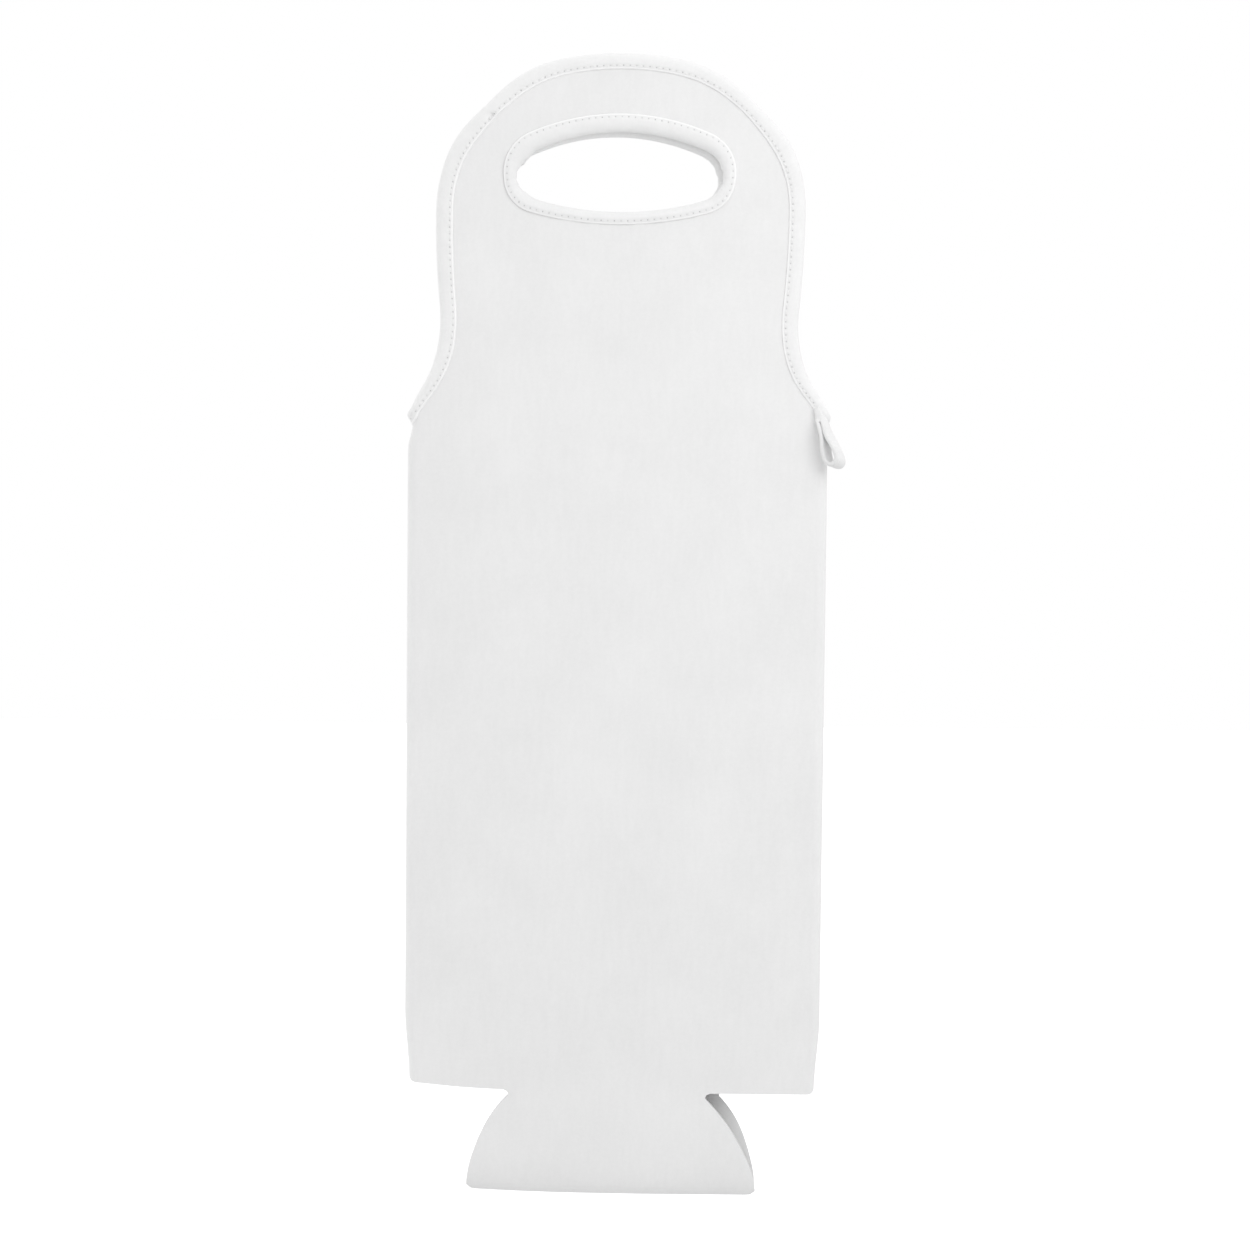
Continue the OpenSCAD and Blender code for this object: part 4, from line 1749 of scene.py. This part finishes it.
@dataclass
class SideSeam:
    """One side seam: the foam edges turned in, their stitches and the ends of the tapes.

    Attributes:
        hand: The side of the carrier.
        wrap: How the pattern lies on the carrier.
        edges: The two edge tapes, whose ends are sewn into the seam.
        allowance: Width of the edges that are turned in.
        foam_in: How far in from the sleeve's side they lie.
        foam_gap: Distance that they keep from the walls' inner faces.
        top_drop: How far below the corner the seam starts.
        bottom_gap: How far above the sleeve's bottom edge the foam ends.
        wave: Share by which the foam's thickness varies.
        wave_size: Length of one such wave.
        cuts: Number of cuts along the foam.
        ridge: Angle above which an edge of it is rounded.
        rounding: Size of that rounding.
        thread_in: How far in from the sleeve's side the stitches lie.
        thread_gap: How far above the bottom edge they end.
        tail_columns: Faces along each tape's end.
        stitch: The stitches.
    """

    hand: Hand
    wrap: Wrap
    edges: Sequence[Binding]
    allowance: float = 4.5 * MM
    foam_in: float = 0.75 * MM
    foam_gap: float = 0.1 * MM
    top_drop: float = 5.0 * MM
    bottom_gap: float = 0.4 * MM
    wave: float = 0.06
    wave_size: float = 9 * MM
    cuts: int = 60
    ridge: float = 0.9
    rounding: float = 0.7 * MM
    thread_in: float = 0.62 * MM
    thread_gap: float = 4 * MM
    tail_columns: int = 12
    stitch: Stitch = Stitch(
        length=1.9 * MM, width=0.46 * MM, height=0.55 * MM, dip=0.35 * MM, pitch=3.0 * MM
    )

    def build(self) -> None:
        """Make the seam's pieces, which all ride on the sleeve."""
        for make in (self.build_allowance, self.build_stitches, self.build_tail):
            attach(make(), "sleeve")

    def build_allowance(self) -> Object:
        """Make the two foam edges that lie face to face inside the seam.

        Returns:
            The finished edges, as one piece.
        """
        lay = self.wrap.layout
        top, bottom = lay.corner - self.top_drop, lay.bottom + self.bottom_gap
        outer_x = lay.half_width - self.foam_in
        half_y = lay.outer - lay.sheet - self.foam_gap
        mesh = bmesh.new()
        bmesh.ops.create_cube(mesh, size=1.0)
        upright = [e for e in mesh.edges if abs((e.verts[0].co - e.verts[1].co).z) > 0.5]
        bmesh.ops.subdivide_edges(mesh, edges=upright, cuts=self.cuts)
        for vert in mesh.verts:
            x, y, z = vert.co
            height = (top + bottom) / 2 + z * (top - bottom)
            wave = 1 + self.wave * noise.noise(Vector((0.0, y, height / self.wave_size)))
            across = outer_x - self.allowance / 2 + x * self.allowance
            flat = Vector((self.hand.value * across, y * 2 * half_y * wave, height))
            vert.co = self.wrap.drape.settle(flat)
        if self.hand is Hand.LEFT:
            bmesh.ops.reverse_faces(mesh, faces=mesh.faces)
        ridges = [e for e in mesh.edges if e.is_manifold and e.calc_face_angle(0.0) > self.ridge]
        bmesh.ops.bevel(
            mesh, geom=ridges, offset=self.rounding, offset_type="OFFSET", segments=2, profile=0.5,
            affect="EDGES", material=-1, clamp_overlap=True,
        )
        piece = finish_piece(mesh, f"{self.hand.word}_seam_edges", [Finish.FOAM])
        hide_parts(f"{self.hand.word}_side_seam")
        return piece

    def build_stitches(self) -> Object:
        """Make the stitches that show in the crease.

        Returns:
            The finished stitches.
        """
        lay = self.wrap.layout
        mesh = bmesh.new()

        def place(run: float, across: float, height: float) -> Vector:
            """Place a point of a stitch in the crease."""
            x = lay.half_width - self.thread_in + height
            return self.wrap.drape.settle(Vector((self.hand.value * x, across, run)))

        self.stitch.row(mesh, place, lay.bottom + self.thread_gap, lay.corner - self.top_drop)
        piece = finish_thread(mesh, f"{self.hand.word}_seam_stitches")
        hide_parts(f"{self.hand.word}_seam_thread")
        return piece

    def build_tail(self) -> Object:
        """Make the ends of the front and back tapes, which turn in to the seam.

        Returns:
            The finished ends, as one piece.
        """
        mesh = bmesh.new()
        for edge in self.edges:
            start, stop = edge.stop, edge.outline.length
            if self.hand is Hand.RIGHT:
                start, stop = 0.0, edge.start
            flip = edge.side is Side.BACK
            edge.strip(mesh, start, stop, self.tail_columns, first=-edge.NOSE, flip=flip, sewn=False)
        piece = finish_piece(mesh, f"{self.hand.word}_tape_ends", [Finish.TAPE], edge.skin)
        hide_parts(f"{self.hand.word}_corner_tape")
        return piece


@dataclass
class FoldedBase:
    """The round base, folded double across its middle, with the two necks that carry it.

    Attributes:
        layout: Sizes of the carrier.
        drape: How the carrier settles.
        roundness: How square the fold is, seen from the side.
        neck_r: Rounding between the neck and the sleeve's bottom edge.
        flatten: How much less round the folded disc's sides are than a circle.
        flatten_run: Height over which they are.
        closeness: Powers by which the rows of faces get closer towards both necks.
        corner: How far the corners of the fold are rounded up.
        corner_span: Span of the way out in which they are.
        corner_run: Height over which that rounding fades.
        columns: Faces across.
        rows: Faces from neck to neck round the fold.
    """

    layout: Layout
    drape: Drape
    roundness: float = 5.0
    neck_r: float = 1.7 * MM
    flatten: float = 3.2 * MM
    flatten_run: float = 9 * MM
    closeness: Pair = (1.5, 1.12)
    corner: float = 1.2 * MM
    corner_span: Pair = (0.96, 1.0)
    corner_run: float = 2.5 * MM
    columns: int = 64
    rows: int = 120

    def half_at(self, height: float) -> float:
        """Measure half the width of the folded disc.

        Args:
            height: Height above the fold.

        Returns:
            Half the width at that height.
        """
        lay = self.layout
        neck = lay.bottom - lay.fold - self.neck_r
        along = min(height, neck)
        along += self.flatten * (1 - math.exp(-((along / self.flatten_run) ** 2)))
        half = math.sqrt(lay.base_r**2 - along**2)
        over = min(max(0.0, height - neck), self.neck_r)
        return half + self.neck_r - math.sqrt(self.neck_r**2 - over**2)

    def height_at(self, v: float) -> float:
        """Return the height above the fold on the way from neck to neck, in closer rows at both."""
        first, second = self.closeness
        return (self.layout.bottom - self.layout.fold) * (1 - (1 - abs(2 * v - 1) ** first) ** second)

    def place(self, u: float, v: float) -> Vector:
        """Place one point of the base's outer face.

        Args:
            u: Share of the way across.
            v: Share of the way round the fold, from the back neck.

        Returns:
            The point on the settled carrier.
        """
        lay = self.layout
        height = self.height_at(v)
        profile = 1 - (1 - height / (lay.bottom - lay.fold)) ** self.roundness
        y = math.copysign(lay.outer * math.sqrt(max(0.0, profile)), 0.5 - v)
        corner = self.corner * math.exp(-height / self.corner_run)
        corner *= ease(*self.corner_span, abs(2 * u - 1))
        flat = Vector(((2 * u - 1) * self.half_at(height), y, lay.fold + height + corner))
        return self.drape.settle(flat)

    def build(self) -> Object:
        """Make the base.

        Returns:
            The finished base.
        """
        lay = self.layout
        mesh = bmesh.new()

        def unroll(u: float, v: float) -> Pair:
            """Unroll the base, with 0 up on the fold."""
            return (2 * u - 1) * lay.base_r, math.copysign(self.height_at(v), v - 0.5)

        lay_grid(mesh, self.columns, self.rows, self.place, unroll)
        piece = finish_piece(mesh, "folded_base", [Finish.FOAM, Finish.CORE], lay.sheet)
        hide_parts("base_disc", "front_base_neck", "back_base_neck")
        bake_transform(piece)
        return piece


@dataclass
class SideLoop:
    """The loop of doubled tape that hangs from the top of the right side seam.

    Attributes:
        layout: Sizes of the carrier.
        length: Length from the root to the end.
        width: Width over the two strands at the round end.
        tape: Thickness of the doubled tape.
        tape_w: Width of the tape.
        edges: How square the tape's section is, across it and through it. Less is squarer.
        gap: Half the gap between the strands where they lie together.
        root: Length over which the strands lie together.
        spread: Share of the straight part at which they are farthest apart.
        lean: Lean away from the vertical.
        turn: Turn about its own length, away from the root.
        root_turn: How much less it is turned at the root.
        root_run: Length over which that fades.
        tilt: Slope of the tape across its width, up towards the viewer.
        sink: How far the root lies back, into the end of the edge tape.
        sink_run: Length over which that fades.
        ripple: Share by which the tape's width ripples.
        ripple_size: Length of a ripple for each radian.
        ripple_span: Where the ripples begin, and where they are full.
        pinch: Share by which the stitches pinch the tape at the root.
        pinch_span: Where the pinch ends, and where it is full.
        grain: Height of the unevenness of the tape's face.
        grain_size: Bumps along the whole loop, and the length of one across the tape.
        tab: Length of the tape that is sewn down above the root.
        tab_over: How far it reaches down past the root.
        tab_width: Its width at its top and how much is added at the root, as shares of the tape's.
        tab_depth: The same for its thickness.
        row_in: Distance of the stitches from the tape's middle.
        row_end: Distance of the last stitch from the root.
        columns: Faces round the tape.
        rows: Faces along the loop, and along the tab.
        crisp: Angle above which an edge of the tape stays sharp.
        stitch: The stitches along the loop.
        bars: Number of stitches across the root.
        bar_start: Distance of the first one down from the root.
        bar_pitch: Distance from one to the next.
        bar_lean: Slope at which they lie.
        bar: Shape of one.
    """

    layout: Layout
    length: float = 18.5 * MM
    width: float = 6.0 * MM
    tape: float = 1.45 * MM
    tape_w: float = 5.3 * MM
    edges: Pair = (0.35, 0.45)
    gap: float = 0.05 * MM
    root: float = 5.5 * MM
    spread: float = 0.95
    lean: float = math.radians(17.5)
    turn: float = math.radians(-37)
    root_turn: float = math.radians(15)
    root_run: float = 7.0 * MM
    tilt: float = 0.4
    sink: float = 4.0 * MM
    sink_run: float = 4.0 * MM
    ripple: float = 0.06
    ripple_size: float = 2.1 * MM
    ripple_span: Pair = (2 * MM, 6 * MM)
    pinch: float = 0.18
    pinch_span: Pair = (6 * MM, 1 * MM)
    grain: float = 0.07 * MM
    grain_size: Pair = (22, 2 * MM)
    tab: float = 3.6 * MM
    tab_over: float = 1.2 * MM
    tab_width: Pair = (0.6, 0.24)
    tab_depth: Pair = (1.3, 0.8)
    row_in: float = 1.5 * MM
    row_end: float = 2.5 * MM
    columns: int = 20
    rows: tuple[int, int] = (96, 14)
    crisp: float = math.radians(70)
    stitch: Stitch = Stitch(
        length=1.5 * MM, width=0.4 * MM, height=0.2 * MM, dip=0.25 * MM, pitch=2.1 * MM
    )
    bars: int = 5
    bar_start: float = 0.3 * MM
    bar_pitch: float = 0.45 * MM
    bar_lean: float = 0.12
    bar: Stitch = Stitch(length=4.6 * MM, width=0.4 * MM, height=0.25 * MM, dip=0.5 * MM)

    STEP = 0.002

    def __post_init__(self) -> None:
        """Find the root from the CAD model."""
        joint = next(j for j in frame["joints"] if j["name"] == "loop_swing")
        self.origin = Vector(joint["pos_m"])

    def centre_line(self, share: float) -> Pair:
        """Give the middle of the tape on its way down one strand and up the other.

        Args:
            share: From 0 at the root of the left strand to 1 at the root of the right one.

        Returns:
            The distance across the loop and the distance down from the root.
        """
        end_r = (self.width - self.tape) / 2
        straight = self.length - self.width / 2
        total = 2 * straight + math.pi * end_r
        run = share * total
        if run < straight:
            down, hand = run, -1.0
        elif run > total - straight:
            down, hand = total - run, 1.0
        else:
            angle = (run - straight) / end_r
            return -end_r * math.cos(angle), straight + end_r * math.sin(angle)
        near = self.tape / 2 + self.gap
        return hand * (near + (end_r - near) * ease(self.root, straight * self.spread, down)), down

    def place(self, share: float, across: float, out: float) -> Vector:
        """Place a point of the tape.

        Args:
            share: Share of the way along the tape.
            across: Distance across the tape, above 0 towards the viewer.
            out: Distance out of the loop from the tape's middle.

        Returns:
            The point on the carrier.
        """
        lateral, down = self.centre_line(share)
        ahead = self.centre_line(min(share + self.STEP, 1.0))
        behind = self.centre_line(max(share - self.STEP, 0.0))
        tangent = Vector((ahead[0] - behind[0], ahead[1] - behind[1])).normalized()
        lateral += -tangent.y * out
        down += tangent.x * out
        across *= 1 - self.ripple * math.sin(down / self.ripple_size) * ease(*self.ripple_span, down)
        across *= 1 - self.pinch * ease(*self.pinch_span, down)
        rise = self.tilt * (across + self.tape_w / 2) * ease(0.0, self.length - self.width / 2, down)
        return self.hang(lateral, across, down - rise)

    def hang(self, lateral: float, across: float, down: float) -> Vector:
        """Place a point of the hanging loop.

        Args:
            lateral: Distance to the right of the loop's own line.
            across: Distance across the tape, above 0 towards the viewer.
            down: Distance down from the root.

        Returns:
            The point on the carrier.
        """
        turn = self.turn + self.root_turn * math.exp(-max(down, 0.0) / self.root_run)
        flat = Matrix.Rotation(turn, 3, "Z") @ Vector((lateral, -across, 0.0))
        hung = Matrix.Rotation(-self.lean, 3, "Y") @ (flat - Vector((0.0, 0.0, down)))
        back = self.sink * math.exp(-max(down, 0.0) / self.sink_run)
        return self.origin + hung + Vector((0.0, back, 0.0))

    def ring(self, u: float, width: float, thick: float) -> Pair:
        """Go round the tape's flat section.

        Args:
            u: Share of the way round.
            width: Width of the section.
            thick: Thickness of the section.

        Returns:
            The distance across the tape and the distance out of its middle.
        """
        cos, sin = math.cos(u * math.tau), math.sin(u * math.tau)
        across = width / 2 * math.copysign(abs(cos) ** self.edges[0], cos)
        return across, thick / 2 * math.copysign(abs(sin) ** self.edges[1], sin)

    def close(self, mesh: BMesh) -> None:
        """Join the seam of a length of tape and close its two ends.

        Args:
            mesh: The mesh of the tape's skin.
        """
        bmesh.ops.remove_doubles(mesh, verts=mesh.verts, dist=WELD)
        bmesh.ops.holes_fill(mesh, edges=[e for e in mesh.edges if e.is_boundary], sides=0)
        bmesh.ops.recalc_face_normals(mesh, faces=mesh.faces)

    def build_root(self) -> None:
        """Make the doubled tape above the root, which is sewn down on the sleeve."""
        mesh = bmesh.new()

        def skin(u: float, v: float) -> Vector:
            """Place a point of the skin, which narrows towards its top."""
            width = self.tape_w * (self.tab_width[0] + self.tab_width[1] * v)
            depth = self.tape * (self.tab_depth[0] + self.tab_depth[1] * v)
            across, out = self.ring(u, width, depth)
            return self.hang(out, across, self.tab * (v - 1) + self.tab_over * v)

        lay_grid(mesh, self.columns, self.rows[1], skin, lambda u, v: (self.tab * v, 2 * self.tape_w * u))
        self.close(mesh)
        root = finish_piece(mesh, "loop_root", [Finish.RIBBON], crisp=self.crisp)
        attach(root, "sleeve")

    def build(self) -> None:
        """Make the loop, its stitches, its root and the bartack over the root."""
        total, girth = 2 * self.length, 2 * (self.tape_w + self.tape)

        def skin(u: float, v: float) -> Vector:
            """Place a point of the tape's skin, which goes round its flat section."""
            across, out = self.ring(u, self.tape_w, self.tape)
            bumps, size = self.grain_size
            out += self.grain * noise.noise(Vector((v * bumps, across / size, 1.0)))
            return self.place(v, across, out)

        mesh = bmesh.new()
        lay_grid(mesh, self.columns, self.rows[0], skin, lambda u, v: (total * v, girth * u))
        self.close(mesh)
        ribbon = finish_piece(mesh, "loop_ribbon", [Finish.RIBBON], crisp=self.crisp)
        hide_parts("side_loop")
        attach(ribbon, "loop")

        def beside(run: float, across: float, height: float) -> Vector:
            """Place a point of the row of stitches."""
            return self.place(run / total, across + self.row_in, self.tape / 2 + height)

        row = bmesh.new()
        self.stitch.row(row, beside, self.row_end, total - self.row_end)
        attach(finish_thread(row, "loop_stitches"), "loop")

        def over(down: float, run: float, across: float, height: float) -> Vector:
            """Place a point of a stitch that crosses the tape so far down from the root."""
            return self.place((down + across + self.bar_lean * run) / total, run, self.tape / 2 + height)

        tack = bmesh.new()
        for number in range(self.bars):
            down = self.bar_start + self.bar_pitch * number
            self.bar.sew(tack, partial(over, down), 0.0)
        bartack = finish_thread(tack, "loop_bartack_stitches")
        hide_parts("loop_bartack")
        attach(bartack, "sleeve")
        self.build_root()


# The studio


@dataclass
class Studio:
    """The pale studio: camera, floor, sky and two lamps.

    Attributes:
        distance: Distance of the camera from the carrier's middle plane.
        sharp_y: Plane in which the picture's scale is exact.
        view_height: Height of the frame in that plane.
        aim: Point at the middle of the photograph, as x and z.
        roll: Lean of the carrier in the picture, its top to the right.
        sensor: Width of the camera's sensor, in millimetres.
        floor_z: Height of the floor.
        floor_half: Half its width.
        floor_cells: Faces along it and across it.
        floor_tone: Its linear grey.
        floor_roughness: Its roughness.
        floor_glow: Light that it adds where the camera sees it.
        sky_front: Brightness of the sky in front of the carrier.
        sky_back: Brightness of the sky behind it.
        sky_way: The way in which the sky gets brighter.
        lamp_size: Side of each square lamp.
        key_place: Where the key lamp hangs, up on the right.
        key_power: Power of the key lamp, in watts.
        fill_place: Where the weak fill lamp hangs, on the left.
        fill_power: Power of the fill lamp.
    """

    distance: float = 1.25
    sharp_y: float = -4 * MM
    view_height: float = 416.7 * MM
    aim: Pair = (3.0 * MM, -151.3 * MM)
    roll: float = math.radians(0.57)
    sensor: float = 36.0
    floor_z: float = -0.40
    floor_half: float = 8.0
    floor_cells: int = 4
    floor_tone: float = 0.7
    floor_roughness: float = 0.9
    floor_glow: float = 0.5
    sky_front: float = 0.72
    sky_back: float = 1.34
    sky_way: Triple = (-0.5, 0.87, 0.0)
    lamp_size: float = 0.4
    key_place: Triple = (0.33, -0.43, 0.15)
    key_power: float = 1.02
    fill_place: Triple = (-0.5, 0.02, -0.15)
    fill_power: float = 0.17

    WHITE = (1.0, 1.0, 1.0, 1.0)

    def build(self) -> None:
        """Set the whole studio up."""
        bpy.context.scene.view_settings.view_transform = "Standard"
        self.build_camera()
        self.build_sky()
        self.build_floor()
        self.build_lamp("key", self.key_place, self.key_power)
        self.build_lamp("fill", self.fill_place, self.fill_power)

    def build_camera(self) -> None:
        """Place the camera in front of the carrier."""
        data = bpy.data.cameras.new("camera")
        data.sensor_width = self.sensor
        data.lens = self.sensor * (self.distance + self.sharp_y) / self.view_height
        camera = put_in_scene("camera", data)
        camera.location = (self.aim[0], -self.distance, self.aim[1])
        camera.rotation_euler = (math.pi / 2, -self.roll, 0.0)
        bpy.context.scene.camera = camera

    def build_sky(self) -> None:
        """Light the carrier from all round, more from behind on its left, with white behind it."""
        world = bpy.data.worlds.new("sky")
        world.use_nodes = True
        bpy.context.scene.world = world
        nodes = Nodes(world.node_tree)
        back = world.node_tree.nodes["Background"]
        look = nodes.add("TexCoord").outputs["Generated"]
        way = nodes.add("VectorMath", {0: look, 1: self.sky_way}, operation="DOT_PRODUCT").outputs["Value"]
        lit = nodes.add(
            "MapRange", {"Value": way, "From Min": -1.0, "To Min": self.sky_front, "To Max": self.sky_back}
        ).outputs[0]
        seen = nodes.add("LightPath").outputs
        clear = nodes.maths("MAXIMUM", seen["Is Camera Ray"], seen["Is Glossy Ray"])
        level = nodes.add("MapRange", {"Value": clear, "To Min": lit, "To Max": 1.0})
        nodes.connect(back, {"Color": self.WHITE, "Strength": level.outputs[0]})

    def build_floor(self) -> None:
        """Lay a pale floor that looks white and keeps the carrier's shadow."""
        mesh = bmesh.new()
        cells = self.floor_cells
        bmesh.ops.create_grid(mesh, x_segments=cells, y_segments=cells, size=self.floor_half)
        bmesh.ops.translate(mesh, verts=mesh.verts, vec=(0.0, 0.0, self.floor_z))
        data = bpy.data.meshes.new("floor")
        mesh.to_mesh(data)
        mesh.free()
        floor = put_in_scene("floor", data)
        coat = Coat("pale_floor")
        seen = coat.add("LightPath").outputs["Is Camera Ray"]
        looks = {
            "Base Color": (self.floor_tone, self.floor_tone, self.floor_tone, 1.0),
            "Roughness": self.floor_roughness,
            "Emission Color": self.WHITE,
            "Emission Strength": coat.maths("MULTIPLY", seen, self.floor_glow),
        }
        coat.connect(coat.shader, looks)
        data.materials.append(coat.material)

    def build_lamp(self, name: str, place: Triple, power: float) -> None:
        """Hang one soft lamp near the carrier, out of the camera's sight.

        Args:
            name: Name of the lamp.
            place: Where it hangs.
            power: Its power, in watts.
        """
        data = bpy.data.lights.new(name, "AREA")
        data.size = self.lamp_size
        data.energy = power
        lamp = put_in_scene(name, data)
        lamp.location = place
        aim = Vector((0.0, 0.0, self.aim[1])) - Vector(place)
        lamp.rotation_euler = aim.to_track_quat("-Z", "Y").to_euler()
        lamp.visible_camera = False


def main() -> None:
    """Build the carrier and its studio, and report each piece."""
    logging.basicConfig(level=logging.INFO, format="%(message)s")
    layout = Layout.from_frame(grip_tape_w=5.2 * MM)
    wrap = Wrap(layout, Drape(layout))
    make_finishes()
    grip_centres = {Side.FRONT: (-0.7 * MM, -0.25 * MM), Side.BACK: (-1.7 * MM, -1.0 * MM)}
    halves = [HandleHalf(side, wrap, HandleShape(), grip_centres[side]) for side in Side]
    for half in halves:
        FoamSheet(half.side, wrap, half.edge.outline, half.grip.outline).build()
        half.build()
    Backtack(halves[0].edge).build()
    for hand in Hand:
        SideSeam(hand, wrap, [half.edge for half in halves]).build()
    FoldedBase(layout, wrap.drape).build()
    SideLoop(layout).build()
    Studio().build()


if __name__ == "__main__":
    main()
